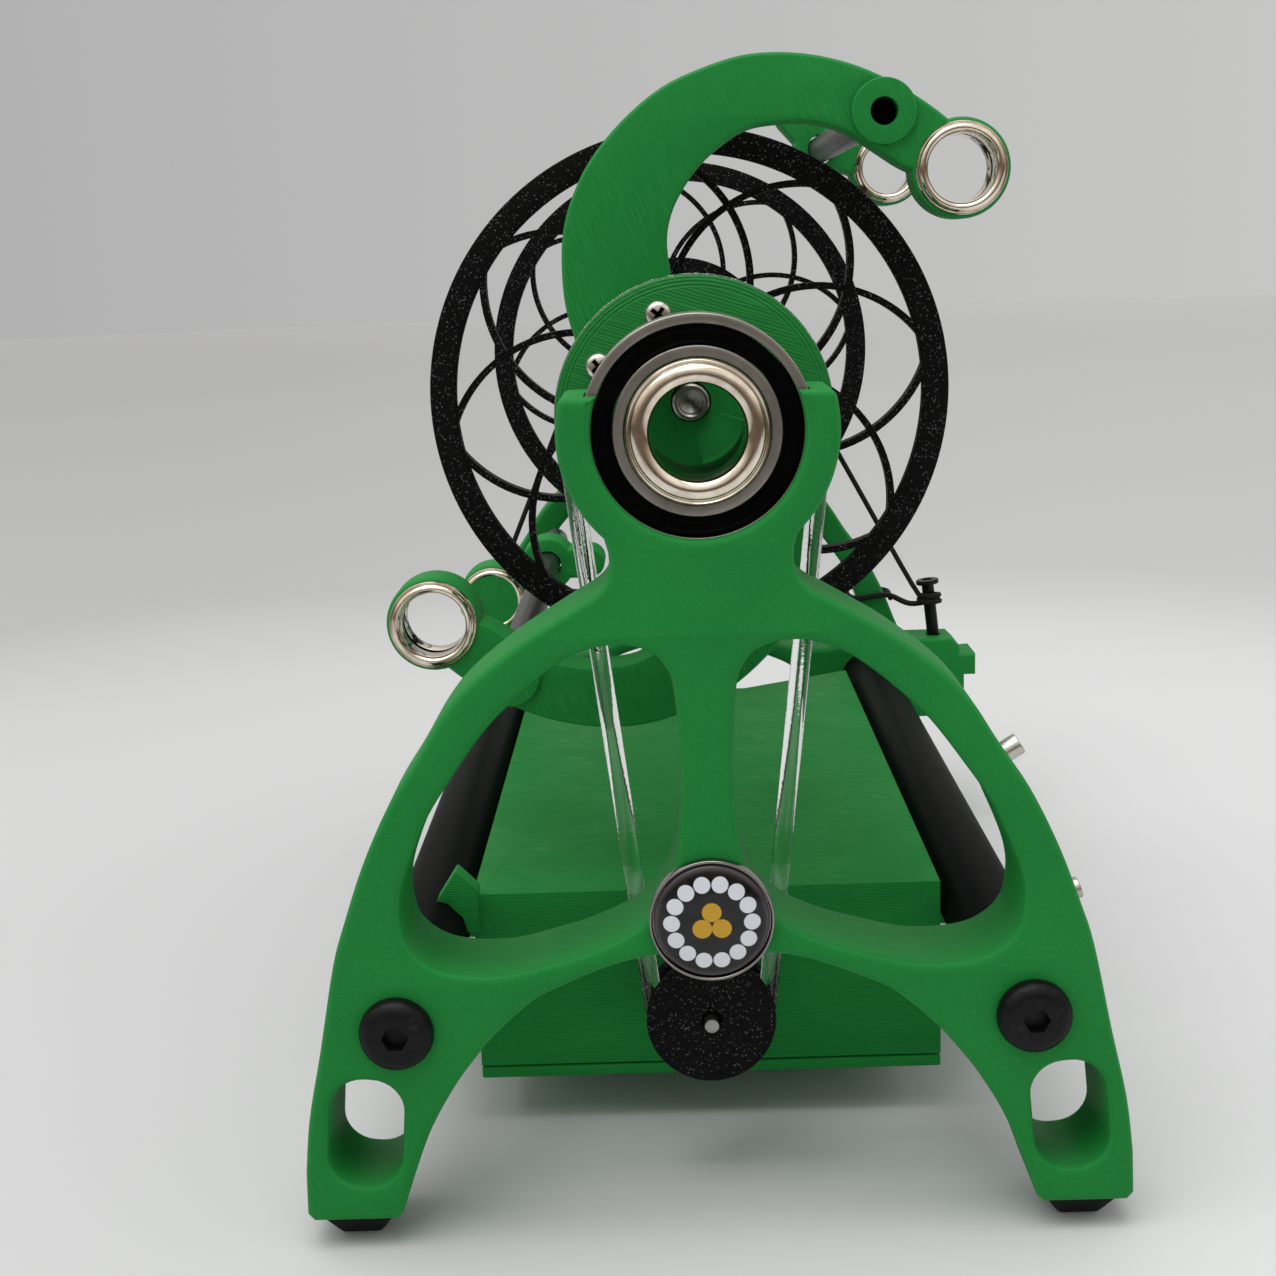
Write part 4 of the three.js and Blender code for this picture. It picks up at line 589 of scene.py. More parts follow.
def metal(name, colour, rough, grain, around=None, deep=0.01):
    """Turned or ground metal: fine rings about the axis at x, z, or a plain fine grain."""
    finish = Finish(name, Metallic=1.0)
    smear = finish.noise(0.16, 3)
    if around:
        rings = finish.rings(finish.reach(*around), grain, 3.0)
    else:
        rings = finish.noise(grain, 4)
    dark = tuple(c * 0.55 for c in colour)
    finish.put(
        Base_Color=finish.mix(finish.soft(smear, 0.35, 0.7) * 0.6 + rings * 0.3, colour, dark),
        Roughness=rings * 0.16 + smear * 0.12 + (rough - 0.12),
    )
    return finish.bump(rings, deep).material


bearing_steel = metal("bearing_steel", (0.36, 0.345, 0.32), 0.36, 2.4, around=(0, 0))
INNER_RING_R, BEARING_BORE_R, SEAL_R, SEAL_RECESS = 11.66, 10, 14.55, 0.4
race = turned("bearing_outer_ring", ring_profile(BEARING_R, SEAL_R, 0, BEARING_WIDTH), steps=128)
fitted(race, bearing_steel, "frame", "front_bearing_race")
race = turned("bearing_inner_ring", ring_profile(INNER_RING_R, BEARING_BORE_R, 0, BEARING_WIDTH), steps=128)
fitted(race, bearing_steel, "flyer", "front_bearing_inner")

seal_rubber = mottled(
    "seal_rubber", (1.1, 4), ((0.0004, 0.0004, 0.0004), (0.0016, 0.0016, 0.0016)), (0.3, 0.24), (5, 3), 0.02,
    Specular_IOR_Level=0.03,
)
low, high = SEAL_R - 0.1, INNER_RING_R + 0.1
front, back = SEAL_RECESS, BEARING_WIDTH - SEAL_RECESS
seal = turned("bearing_seals", rounded([
    (high, front), (high + 0.35, front), (high + 0.5, front + 0.22), (low - 0.75, front + 0.16),
    (low - 0.6, front), (low, front), (low, back), (high, back),
], 0.08, 2), steps=128)
fitted(seal, seal_rubber, "frame", "front_bearing_seals")

REAR_SHIELD_IN, REAR_SHIELD_OUT, REAR_INNER_R, REAR_BORE_R, SHIELD_SUNK = 5, 7.6, 4.7, 3.3, 0.5
rear_back = REAR_SEAT + REAR_BEARING_WIDTH
race = turned("rear_bearing_outer_ring", rounded([
    (REAR_SHIELD_IN, REAR_SEAT + SHIELD_SUNK), (REAR_SHIELD_OUT, REAR_SEAT + SHIELD_SUNK),
    (REAR_SHIELD_OUT, REAR_SEAT), (REAR_BEARING_R, REAR_SEAT), (REAR_BEARING_R, rear_back),
    (REAR_SHIELD_OUT, rear_back), (REAR_SHIELD_OUT, rear_back - SHIELD_SUNK),
    (REAR_SHIELD_IN, rear_back - SHIELD_SUNK),
], 0.25))
fitted(race, bearing_steel, "frame", "rear_bearing_race")
race = turned("rear_bearing_inner_ring", ring_profile(REAR_INNER_R, REAR_BORE_R, REAR_SEAT, rear_back, 0.25))
fitted(race, bearing_steel, "flyer", "rear_bearing_inner")

# Flyer pulley: a printed disc with a belt groove, in one with the hub tube that runs in the
# front bearing. Its face shows the diagonal top lines inside two rim lines. Two of its four
# cross-head screws show over the cradle, and a nickel eyelet is pressed into its mouth.
FLYER_TURN = 38.9
DISC_FRONT, DISC_BACK, DISC_R = 22.5, 29.5, 20.65
BELT_AT, GROOVE_FLOOR, GROOVE_HALF, GROOVE_FLOOR_HALF = 26, 17.6, 2.4, 1.2
HUB_BORE_R, HUB_TUBE_R, HUB_SHOULDER_R, HUB_PROUD = 7.7, 9.7, 11.3, 0.4
disc_finish = Finish("disc_green", Roughness=0.45, Specular_IOR_Level=0.25)
x, y, z = disc_finish.xyz(disc_finish.spot)
reach = (x * x + z * z) ** 0.5
facing = disc_finish.soft(disc_finish.xyz(disc_finish.facing)[1].math("ABSOLUTE"), 0.8, 0.95)
along = x * 0.95 - z * 0.31
across = x * 0.31 + z * 0.95
streak = disc_finish.streaks(along * 0.09, across * 3.6, 4.0)
outer = disc_finish.soft(reach, DISC_R - 1.9, DISC_R - 1.6)
top = (waves(across, 0.5) * 0.5 + streak * 0.9) * (1 - outer) + waves(reach, 0.55) * outer
layers = waves(y, LAYER)
tone = disc_finish.mix(disc_finish.soft(streak, 0.35, 0.7), GREEN_DEEP, GREEN)
# Painted sheen: the brightest streaks on the forward-facing face are painted paler green
tone = disc_finish.mix(disc_finish.soft(streak, 0.55, 0.8) * facing * 0.45, tone, GREEN_PAINTED_LIGHT)
disc_finish.put(Base_Color=tone, Roughness=0.5 - streak * facing * 0.25)
disc_green = disc_finish.bump(top * facing + layers * (1 - facing), 0.06).material
SCREW_REACH, SCREW_SPREAD, SCREW_HOLE_R, SCREW_LONG = 15.9, 21.2, 1.3, 16
SCREW_HEAD_R, SCREW_SHANK_R, SCREW_HEAD_TALL = 2, 1, 1.1
SCREW_SPOTS = [
    polar(side + way * SCREW_SPREAD + FLYER_TURN, SCREW_REACH) for side in (90, 270) for way in (-1, 1)
]


def groove(r, floor):
    """The belt's groove in a rim of radius r."""
    return [
        (r, BELT_AT - GROOVE_HALF), (floor, BELT_AT - GROOVE_FLOOR_HALF),
        (floor, BELT_AT + GROOVE_FLOOR_HALF), (r, BELT_AT + GROOVE_HALF),
    ]


def screw_holes(y0, y1):
    return [drill(SCREW_HOLE_R, y0, y1, x, z, 24) for x, z in SCREW_SPOTS]


shoulder = BEARING_WIDTH + GAP
pulley = turned("flyer_pulley_print", rounded([
    (HUB_BORE_R, -HUB_PROUD), (HUB_TUBE_R, -HUB_PROUD), (HUB_TUBE_R, shoulder), (HUB_SHOULDER_R, shoulder),
    (HUB_SHOULDER_R, DISC_FRONT), (DISC_R, DISC_FRONT), *groove(DISC_R, GROOVE_FLOOR),
    (DISC_R, DISC_BACK), (HUB_BORE_R, DISC_BACK),
], 0.7), steps=128)
without(pulley, *screw_holes(DISC_FRONT - 1, DISC_BACK + 1))
fitted(pulley, disc_green, "flyer", "flyer_pulley")

bright_steel = metal("bright_steel", (0.62, 0.60, 0.56), 0.24, 4.5)


def screw_finish(name, x, z):
    """Bright steel, with painted shade in the cross recess."""
    finish = Finish(name, Metallic=0.9)
    y = finish.xyz(finish.spot)[1]
    aside = finish.soft(finish.reach(x, z), 1.3, 1.38)
    # Painted shade: the inside of the cross recess, painted near black below
    recess_shade = finish.soft(y, DISC_FRONT - 0.96, DISC_FRONT - 0.9) * (1 - aside)
    smear = finish.noise(1.2, 3)
    tone = finish.mix(finish.soft(smear, 0.3, 0.7), (0.85, 0.82, 0.76), (0.50, 0.48, 0.44))
    tone = finish.mix(recess_shade, tone, (0.004, 0.004, 0.004))
    finish.put(Base_Color=tone, Roughness=smear * 0.15 + recess_shade * 0.5 + 0.12)
    return finish.bump(smear, 0.02).material


for number, (x, z) in enumerate(SCREW_SPOTS, 1):
    screw = turned(f"hub_screw_head_{number}", [
        (0, DISC_FRONT - SCREW_HEAD_TALL), (1.3, DISC_FRONT - 1.06), (1.7, DISC_FRONT - 0.85),
        (1.95, DISC_FRONT - 0.45), (SCREW_HEAD_R, DISC_FRONT - 0.12), (SCREW_HEAD_R, DISC_FRONT),
        (SCREW_SHANK_R, DISC_FRONT), (SCREW_SHANK_R, DISC_FRONT + SCREW_LONG), (0, DISC_FRONT + SCREW_LONG),
    ], x, z, 40)
    for turn in (25, 115):
        without(screw, brick((x, DISC_FRONT - SCREW_HEAD_TALL, z), (2.4, 1.5, 0.62), turn + 13 * number))
    finish = screw_finish(f"screw_steel_{number}", x, z)
    fitted(screw, finish, "flyer", f"hub_screw_{number}")


def eyelet(name, r, flange_r, face, way, deep, x=0, z=0, steps=96):
    """Pressed eyelet: a rolled flange on a face, its barrel going in along way."""
    lip = 0.13 * (flange_r - r)
    middle, half = (r + flange_r - 1.4 * lip) / 2, (flange_r - r - 1.4 * lip) / 2
    roll = [(flange_r, face), (flange_r, face - way * 0.3), (flange_r - lip / 2, face - way * 0.5),
            (flange_r - lip, face - way * 0.34)]
    roll += [(middle + half * math.cos(math.radians(t)), face - way * (0.2 + math.sin(math.radians(t))))
             for t in range(10, 180, 10)]
    inside = [(r, face), (r, face + way * (deep - 0.4)), (r + 0.1, face + way * deep)]
    outside = [(r + 0.7, face + way * deep), (r + 0.7, face + way * 0.05)]
    return turned(name, roll + inside + outside, x, z, steps)


def nickel_finish(name, x, z):
    """Nickel over brass, with patches painted browner in place of warm reflections, and faint drawing rings.
    """
    finish = Finish(name, Metallic=1.0)
    rings = finish.rings(finish.reach(x, z), 3.2, 2.0)
    reflection_patches = finish.noise(0.32, 3)
    # Painted reflection: patches of the warm nickel are painted brown, standing in for dark warm reflections
    tone = finish.mix(finish.soft(reflection_patches, 0.35, 0.65), (0.84, 0.77, 0.67), (0.66, 0.57, 0.47))
    finish.put(Base_Color=tone, Roughness=rings * 0.08 + reflection_patches * 0.08 + 0.06)
    return finish.bump(rings, 0.012).material


ring = eyelet("orifice_eyelet_brass", 6.64, 9.95, -HUB_PROUD, 1, 9, steps=128)
fitted(ring, nickel_finish("orifice_nickel", 0, 0), "flyer", "orifice_eyelet", smooth=50)

# Flyer arms: one green print of a hub plate and two crescents that carry the yarn rings, with
# a boss for each rod. The top lines run slantwise. Struts hold it to the pulley by the four
# screws, and each ring has a nickel eyelet pressed in from both sides.
ARM_FRONT, ARM_THICK, ARM_EDGE, ARM_HUB_R, SHAFT_R = 51.5, 8.5, 0.9, 19.6, 3
STRUT_IN_R, STRUT_FROM, STRUT_TO = 9.4, 59, 121
ARM_BACK = ARM_FRONT + ARM_THICK
RING_REACH, RING_SOCKET_R, RING_R, RING_FLANGE_R, RING_DEEP = 56.4, 7.9, 5.4, 7.3, 3.4
ROD_TURN, ROD_REACH, ROD_R, ROD_BORE_R, ROD_SEAT, ROD_END = 15.7, 54.6, 2.8, 2.2, 7, 203
BOSS_R, BOSS_RISE = 5.15, 1.2
ARM_OUTER = [
    (118.0, 0.335), (110.7, 0.381), (103.0, 0.443), (95.5, 0.509), (87.6, 0.590),
    (80.6, 0.658), (72.7, 0.730), (63.7, 0.805), (55.1, 0.876), (47.9, 0.924),
    (41.3, 0.968), (35.1, 0.998), (28.9, 1.021), (22.5, 1.039), (16.0, 1.051),
    (9.0, 1.062), (3.0, 1.069),
]
ARM_INNER = [
    (1.5, 0.922), (7.0, 0.885), (13.9, 0.872), (19.9, 0.867), (25.9, 0.848),
    (31.7, 0.816), (37.6, 0.778), (42.9, 0.718), (48.2, 0.649), (53.7, 0.562),
    (57.1, 0.488), (58.3, 0.422), (58.0, 0.335),
]
arm_green = printed_green("arm_green", 1, "lines")


def arm_outline(shares, swing):
    return smoothed([polar(turn + swing, reach * RING_REACH) for turn, reach in shares], 4)


arms = disc(ARM_HUB_R, ARM_FRONT, ARM_BACK, ARM_EDGE, steps=96, name="flyer_arms_print")
drills = [drill(SHAFT_R + GAP, DISC_BACK, ARM_BACK + 1)]
for swing in (FLYER_TURN, FLYER_TURN + 180):
    ring_x, ring_z = polar(swing, RING_REACH)
    rod_x, rod_z = polar(swing + ROD_TURN, ROD_REACH)
    strut = arc(0, 0, ARM_HUB_R, swing + STRUT_FROM, swing + STRUT_TO, 24)
    strut += arc(0, 0, STRUT_IN_R, swing + STRUT_TO, swing + STRUT_FROM, 24)
    crescent = arm_outline(ARM_OUTER, swing) + arm_outline(ARM_INNER, swing)
    together(
        arms, cut_out("crescent", crescent, [], ARM_FRONT, ARM_BACK, ARM_EDGE),
        disc(RING_SOCKET_R, ARM_FRONT, ARM_BACK, ARM_EDGE, ring_x, ring_z),
        disc(BOSS_R, ARM_FRONT - BOSS_RISE, ARM_FRONT + 4, 0.4, rod_x, rod_z),
        cut_out("strut", strut, [], DISC_BACK, ARM_FRONT + 4, 0.3, 1),
    )
    drills += [
        drill(RING_R + 1, ARM_FRONT - 1, ARM_BACK + 1, ring_x, ring_z),
        drill(ROD_R + GAP, ARM_BACK - ROD_SEAT, ARM_BACK + 1, rod_x, rod_z, 40),
        drill(ROD_BORE_R, ARM_FRONT - 3, ARM_BACK - 3, rod_x, rod_z, 40),
    ]
without(arms, *drills, *screw_holes(DISC_BACK - 1, DISC_FRONT + SCREW_LONG + GAP))
fitted(arms, arm_green, "flyer", "flyer_arms", smooth=28)


def ring_pair(name, y0, y1, x, z, body):
    finish = nickel_finish(f"{name}_nickel", x, z)
    for end, face, way in (("front", y0, 1), ("back", y1, -1)):
        ring = eyelet(f"{name}_brass_{end}", RING_R, RING_FLANGE_R, face, way, RING_DEEP, x, z, 72)
        fitted(ring, finish, body, f"{name}_eyelet_{end}", smooth=50)


for name, swing in (("upper_ring", FLYER_TURN), ("lower_ring", FLYER_TURN + 180)):
    ring_pair(name, ARM_FRONT, ARM_BACK, *polar(swing, RING_REACH), "flyer")

# Rods and sliding guides: two dark tubes seated in the arms' bosses, and on each a printed
# guide with a pair of eyelets, which the spinner slides along to fill the bobbin evenly.
GUIDE_AT, GUIDE_LONG, GUIDE_R, GUIDE_REACH, GUIDE_ARM_WIDE = 165, 10, 6, 14.8, 7
GUIDE_TAB_TURN, GUIDE_TAB_REACH, GUIDE_TAB_R = 150, 9.5, 3.4
rod_finish = Finish("dark_rod", Metallic=0.4, Specular_IOR_Level=0.3)
draw = rod_finish.noise(1.0, 4, where=rod_finish.stretched(3.0, 0.12, 3.0))
rod_finish.put(
    Base_Color=rod_finish.mix(rod_finish.soft(draw, 0.35, 0.7), (0.012, 0.012, 0.013), (0.040, 0.040, 0.042)),
    Roughness=draw * 0.25 + 0.22,
)
dark_rod = rod_finish.bump(draw, 0.015).material
guide_green = printed_green("guide_green", 1, "lines")
for name, side, turn in (("upper", 1, -57), ("lower", -1, 172)):
    rod_x, rod_z = (side * c for c in polar(FLYER_TURN + ROD_TURN, ROD_REACH))
    rod = turned(
        f"{name}_rod_tube", ring_profile(ROD_R, ROD_BORE_R, ARM_BACK - ROD_SEAT + GAP, ROD_END, 0.25),
        rod_x, rod_z, 48,
    )
    fitted(rod, dark_rod, "flyer", f"flyer_rod_{name}")
    way = turn + FLYER_TURN
    ring_x, ring_z = polar(way, GUIDE_REACH)
    tab_x, tab_z = polar(way + GUIDE_TAB_TURN, GUIDE_TAB_REACH)
    guide_back = GUIDE_AT + GUIDE_LONG
    guide = disc(GUIDE_R, GUIDE_AT, guide_back, ARM_EDGE, rod_x, rod_z, name=f"{name}_guide_print")
    for heading, reach, wide in (
        (way, GUIDE_REACH, GUIDE_ARM_WIDE), (way + GUIDE_TAB_TURN, GUIDE_TAB_REACH, 2 * GUIDE_TAB_R),
    ):
        far_x, far_z = polar(heading, reach)
        side_x, side_z = polar(heading + 90, wide / 2)
        link = [
            (rod_x + side_x, rod_z + side_z), (rod_x - side_x, rod_z - side_z),
            (rod_x + far_x - side_x, rod_z + far_z - side_z),
            (rod_x + far_x + side_x, rod_z + far_z + side_z),
        ]
        together(guide, cut_out("link", link, [], GUIDE_AT, guide_back, ARM_EDGE))
    together(
        guide,
        disc(RING_SOCKET_R, GUIDE_AT, guide_back, ARM_EDGE, rod_x + ring_x, rod_z + ring_z),
        disc(GUIDE_TAB_R, GUIDE_AT, guide_back, ARM_EDGE, rod_x + tab_x, rod_z + tab_z, 40),
    )
    without(
        guide, drill(ROD_R + GAP, GUIDE_AT - 1, guide_back + 1, rod_x, rod_z, 48),
        drill(RING_R + 1, GUIDE_AT - 1, guide_back + 1, rod_x + ring_x, rod_z + ring_z),
    )
    fitted(guide, guide_green, f"{name}_slider", f"guide_{name}", smooth=28)
    ring_pair(f"guide_{name}", GUIDE_AT, guide_back, rod_x + ring_x, rod_z + ring_z, f"{name}_slider")

# Flyer shaft: a turned steel rod fixed in the arms' hub, which carries the bobbin. A collar
# keeps the bobbin on, and its end runs in the rear bearing.
SHAFT_FRONT, SHAFT_BACK = 50, 224.1
COLLAR_R, COLLAR_FRONT, COLLAR_BACK = 5.6, 213.5, 215.7
shaft = turned("shaft_steel", [
    (0, SHAFT_FRONT + 3.2), (0.5, SHAFT_FRONT + 3), (1.9, SHAFT_FRONT + 2.2), (2.0, SHAFT_FRONT + 0.3),
    (2.3, SHAFT_FRONT), (SHAFT_R - 0.3, SHAFT_FRONT), (SHAFT_R, SHAFT_FRONT + 0.3),
    (SHAFT_R, SHAFT_BACK - 0.3), (SHAFT_R - 0.3, SHAFT_BACK), (0, SHAFT_BACK),
], steps=48)
shaft_steel = metal("shaft_steel_finish", (0.42, 0.40, 0.38), 0.34, 3.0)
fitted(shaft, shaft_steel, "flyer", "flyer_shaft")
band = ring_profile(COLLAR_R, SHAFT_R + GAP, COLLAR_FRONT, COLLAR_BACK, 0.3)
collar = turned("shaft_collar_steel", band, steps=64)
fitted(collar, shaft_steel, "flyer", "shaft_collar")

# Bobbin: two flanges cut through with eight crossing rings inside a rim, on a hollow core.
# Black PLA with a fine glitter in it. The rear flange has the groove of the brake cord. Its
# bores run straight on the shaft.
BOBBIN_FRONT, BOBBIN_REAR, FLANGE_R, FLANGE_THICK = 69.5, 202, 44.5, 3
RIM_SHARE, LACE_SHARE, LACE_REACH_SHARE, LACE_WIDE, LACE_TURN, LACE_COUNT = 0.9, 0.511, 0.506, 1.15, 31.5, 8
CORE_R, CORE_WALL, BOBBIN_HUB_R, BOBBIN_BORE_R, SPIGOT_LONG = 9.5, 2, 11, 3.5, 6
NOSE_R, NOSE_FRONT, GLITTER_GRAIN = 8.4, 61, 3.6
WHORL_R, WHORL_GROOVE_R, WHORL_BACK, WHORL_RIM = 22.3, 20, 213, 1.5
glitter = Finish("glitter_black", Specular_IOR_Level=0.1)
shine, tint, _ = glitter.xyz(glitter.cells(GLITTER_GRAIN, 1))
spark = glitter.soft(shine, 0.8, 0.98) * (1 - glitter.soft(glitter.cells(GLITTER_GRAIN, 0), 0.25, 0.5))
flake = glitter.mix(tint, (0.36, 0.40, 0.48), (0.50, 0.46, 0.40))
ground = glitter.mix(glitter.noise(0.3, 3), (0.0012, 0.0012, 0.0013), (0.004, 0.004, 0.0043))
ridges = waves(glitter.xyz(glitter.spot)[1], LAYER)
glitter.put(
    Base_Color=glitter.mix(spark * 0.42, ground, flake),
    Roughness=0.46 - spark * 0.22 + glitter.noise(0.8, 3) * 0.12,
)
glitter_black = glitter.bump(ridges * 0.7 + glitter.noise(2.5, 2) * 0.5, 0.04).material


def laced_flange(name, front):
    back = front + FLANGE_THICK
    flange = turned(name, ring_profile(FLANGE_R, RIM_SHARE * FLANGE_R, front, back, 0.3), steps=160)
    hub = disc(BOBBIN_HUB_R, front, back, 0.3)
    rim_middle, lace = (1 + RIM_SHARE) * FLANGE_R / 2, []
    r = LACE_SHARE * FLANGE_R
    for i in range(LACE_COUNT):
        x, z = polar(LACE_TURN + 360 * i / LACE_COUNT, LACE_REACH_SHARE * FLANGE_R)
        # Each ring is a hair thinner than the last, so that no two faces lie in one plane
        shy = 0.04 + 0.012 * i
        lace.append(turned("lace", [
            (r - LACE_WIDE / 2, front + shy), (r + LACE_WIDE / 2, front + shy),
            (r + LACE_WIDE / 2, back - shy), (r - LACE_WIDE / 2, back - shy),
        ], x, z, 96))
    lace = together(*lace)
    without(lace, turned("past_the_rim", ring_profile(60, rim_middle, front - 1, back + 1, 0.1), steps=96))
    return together(flange, hub, lace)


spigot_r = CORE_R - CORE_WALL - GAP
flange = laced_flange("front_flange_print", BOBBIN_FRONT)
core_front = BOBBIN_FRONT + FLANGE_THICK
together(
    flange, disc(NOSE_R, NOSE_FRONT, BOBBIN_FRONT + 1, 0.5),
    disc(spigot_r, BOBBIN_FRONT + 1, core_front + SPIGOT_LONG, 0.4),
)
without(flange, drill(BOBBIN_BORE_R, NOSE_FRONT - 1, core_front + SPIGOT_LONG + 1, steps=48))
fitted(flange, glitter_black, "bobbin", "bobbin_flange_front")
flange = laced_flange("rear_flange_print", BOBBIN_REAR)
flange_back = BOBBIN_REAR + FLANGE_THICK
whorl = turned("whorl", rounded([
    (0, BOBBIN_REAR + 2), (WHORL_R, BOBBIN_REAR + 2), (WHORL_R, flange_back + WHORL_RIM),
    (WHORL_GROOVE_R, flange_back + 2 * WHORL_RIM), (WHORL_GROOVE_R, WHORL_BACK - 2 * WHORL_RIM),
    (WHORL_R, WHORL_BACK - WHORL_RIM), (WHORL_R, WHORL_BACK), (0, WHORL_BACK),
], 0.3), steps=96)
together(flange, whorl, disc(spigot_r, BOBBIN_REAR - SPIGOT_LONG, BOBBIN_REAR + 1, 0.4))
without(flange, drill(BOBBIN_BORE_R, BOBBIN_REAR - SPIGOT_LONG - 1, WHORL_BACK + 1, steps=48))
fitted(flange, glitter_black, "bobbin", "bobbin_flange_rear")
core = turned("bobbin_core_print", ring_profile(CORE_R, CORE_R - CORE_WALL, core_front, BOBBIN_REAR, 0.2))
fitted(core, glitter_black, "bobbin", "bobbin_core")

# Frame tubes and bolts: two satin black tubes stand in sockets in both plates, and a black
# oxide socket bolt holds each end. Two bright pins show in the front plate's right edge.
tube_finish = Finish("satin_black_tube", Specular_IOR_Level=0.02)
draw = tube_finish.noise(1.0, 4, where=tube_finish.stretched(2.4, 0.06, 2.4))
dust = tube_finish.soft(tube_finish.noise(0.22, 4), 0.5, 0.8)
tube_finish.put(
    Base_Color=tube_finish.mix(draw * 0.7 + dust * 0.3, (0.002, 0.0024, 0.0024), (0.009, 0.011, 0.0105)),
    Roughness=draw * 0.14 + dust * 0.1 + 0.4,
)
satin_tube = tube_finish.bump(draw + tube_finish.noise(4, 3) * 0.5, 0.015).material

oxide = Finish("black_bolt", Metallic=0.5, Specular_IOR_Level=0.2)
mottle = oxide.noise(0.9, 4)
wear_and_sheen = oxide.soft(oxide.noise(0.45, 4), 0.6, 0.78)
tone = oxide.mix(mottle, (0.005, 0.005, 0.006), (0.016, 0.016, 0.017))
oxide.put(Base_Color=oxide.mix(wear_and_sheen * 0.5, tone, (0.06, 0.06, 0.06)), Roughness=mottle * 0.22 + 0.26)
black_oxide = oxide.bump(oxide.noise(3.5, 4), 0.02).material

tube_front, tube_rear = plate_back - TUBE_SOCKET + GAP, REAR_FRONT + TUBE_SOCKET - GAP
BOLT_LENGTH, BOLT_HEAD_R, BOLT_HEAD_TALL, BOLT_HEX, BOLT_HEX_DEEP = 26, 5.4, 2.7, 3.4, 1.7


def hex_bolt(name, x, face, way):
    """A low-headed socket bolt with its head on a face, its rim rounded and its hexagon sunk."""
    top, r = face - way * BOLT_HEAD_TALL, BOLT_HEAD_R
    piece = turned(name, [
        (0, top), (r - 2.4, top), (r - 1.5, top + way * 0.12), (r - 0.7, top + way * 0.5),
        (r - 0.2, top + way * 1.1), (r, top + way * 1.8), (r, face - way * 0.25), (r - 0.25, face),
        (BOLT_SHANK_R, face), (BOLT_SHANK_R, face + way * BOLT_LENGTH), (0, face + way * BOLT_LENGTH),
    ], x, -TUBE_DROP, 64)
    ends = sorted((top - way, top + way * BOLT_HEX_DEEP))
    hexagon = rounded(bar(BOLT_HEX / math.sqrt(3), *ends), 0.01, 1)
    return without(piece, turned("socket", hexagon, x, -TUBE_DROP, 6))


for name, side in (("left", -1), ("right", 1)):
    tube = turned(
        f"{name}_tube_steel", ring_profile(TUBE_R, BOLT_SHANK_R + GAP, tube_front, tube_rear, 0.3),
        side * TUBE_OUT, -TUBE_DROP, 72,
    )
    fitted(tube, satin_tube, "frame", f"frame_tube_{name}")
    for end, face, way in (("front", PLATE_FRONT, 1), ("rear", REAR_FRONT + REAR_THICK, -1)):
        bolt = hex_bolt(f"{name}_{end}_bolt_steel", side * TUBE_OUT, face, way)
        fitted(bolt, black_oxide, "frame", f"{end}_bolt_{name}")

PIN_R, PIN_SINK = 1.6, 4
for name, (sx, sz), turn, out in (("upper", (0.71, -0.419), 32, 2.3), ("lower", (0.868, -0.604), 19, 1.3)):
    pin = turned(f"{name}_pin_steel", rounded(bar(PIN_R, -PIN_SINK, out), 0.35), steps=40, lie="X")
    middle = at(sx * FOOT_HALF, PLATE_FRONT + PLATE_THICK / 2, sz * PLATE_DROP)
    pin.data.transform(Matrix.Translation(-AXIS))
    pin.data.transform(Matrix.Translation(middle) @ Matrix.Rotation(math.radians(-turn), 4, "Y"))
    fitted(pin, bright_steel, "frame", f"edge_pin_{name}")

# Feet: four soft black rubber bumpers stuck under the plates' legs, square and narrower where
# they stand, with rounded edges.
FOOT_OUT, FOOT_TOP_HALF, FOOT_LOW_HALF, FOOT_HEIGHT = 53.8, 6, 3, 4.6
foot_rubber = mottled(
    "foot_rubber", (0.7, 4), ((0.004, 0.005, 0.004), (0.014, 0.016, 0.014)), (0.2, 0.6), (3, 3), 0.05,
    Specular_IOR_Level=0.15,
)
for end, y in (("front", PLATE_FRONT + PLATE_THICK / 2), ("rear", REAR_FRONT + REAR_THICK / 2)):
    for name, side in (("left", -1), ("right", 1)):
        middle = (side * FOOT_OUT, y, -PLATE_DROP - FOOT_HEIGHT / 2)
        foot = brick(middle, (2 * FOOT_TOP_HALF, 2 * FOOT_TOP_HALF, FOOT_HEIGHT))
        foot.name = f"{end}_{name}_bumper"
        low = min(v.co.z for v in foot.data.vertices) + 1e-5
        centre = at(side * FOOT_OUT, y, 0)
        for v in foot.data.vertices:
            if v.co.z < low:
                v.co.x = centre.x + (v.co.x - centre.x) * FOOT_LOW_HALF / FOOT_TOP_HALF
                v.co.y = centre.y + (v.co.y - centre.y) * FOOT_LOW_HALF / FOOT_TOP_HALF
        rounded_off(foot, 0.8, 3)
        fitted(foot, foot_rubber, "frame", f"foot_{end}_{name}", smooth=60)

# Badge: a small domed disc in a polished metal cup, glued on the web under the windows. Its
# face carries a plain ring of dots round three golden ones, under a clear dome.
BADGE_DROP, BADGE_R, BADGE_WALL, BADGE_CUP_TALL, BADGE_CROWN = 68.75, 8.9, 0.4, 1.8, 0.9
BADGE_FLOOR, DOT_COUNT, DOT_REACH, DOT_R, GOLD_REACH, GOLD_R = 0.8, 14, 5.7, 1.18, 1.6, 1.38
badge_front = PLATE_FRONT - BADGE_CUP_TALL
cup = turned("badge_cup_metal", rounded([
    (0, PLATE_FRONT), (BADGE_R, PLATE_FRONT), (BADGE_R, badge_front), (BADGE_R - BADGE_WALL, badge_front),
    (BADGE_R - BADGE_WALL, PLATE_FRONT - BADGE_FLOOR), (0, PLATE_FRONT - BADGE_FLOOR),
], 0.18), 0, -BADGE_DROP, 96)
cup_metal = metal("badge_metal", (0.30, 0.27, 0.27), 0.22, 2.0, around=(0, -BADGE_DROP))
fitted(cup, cup_metal, "frame", "badge_cup")

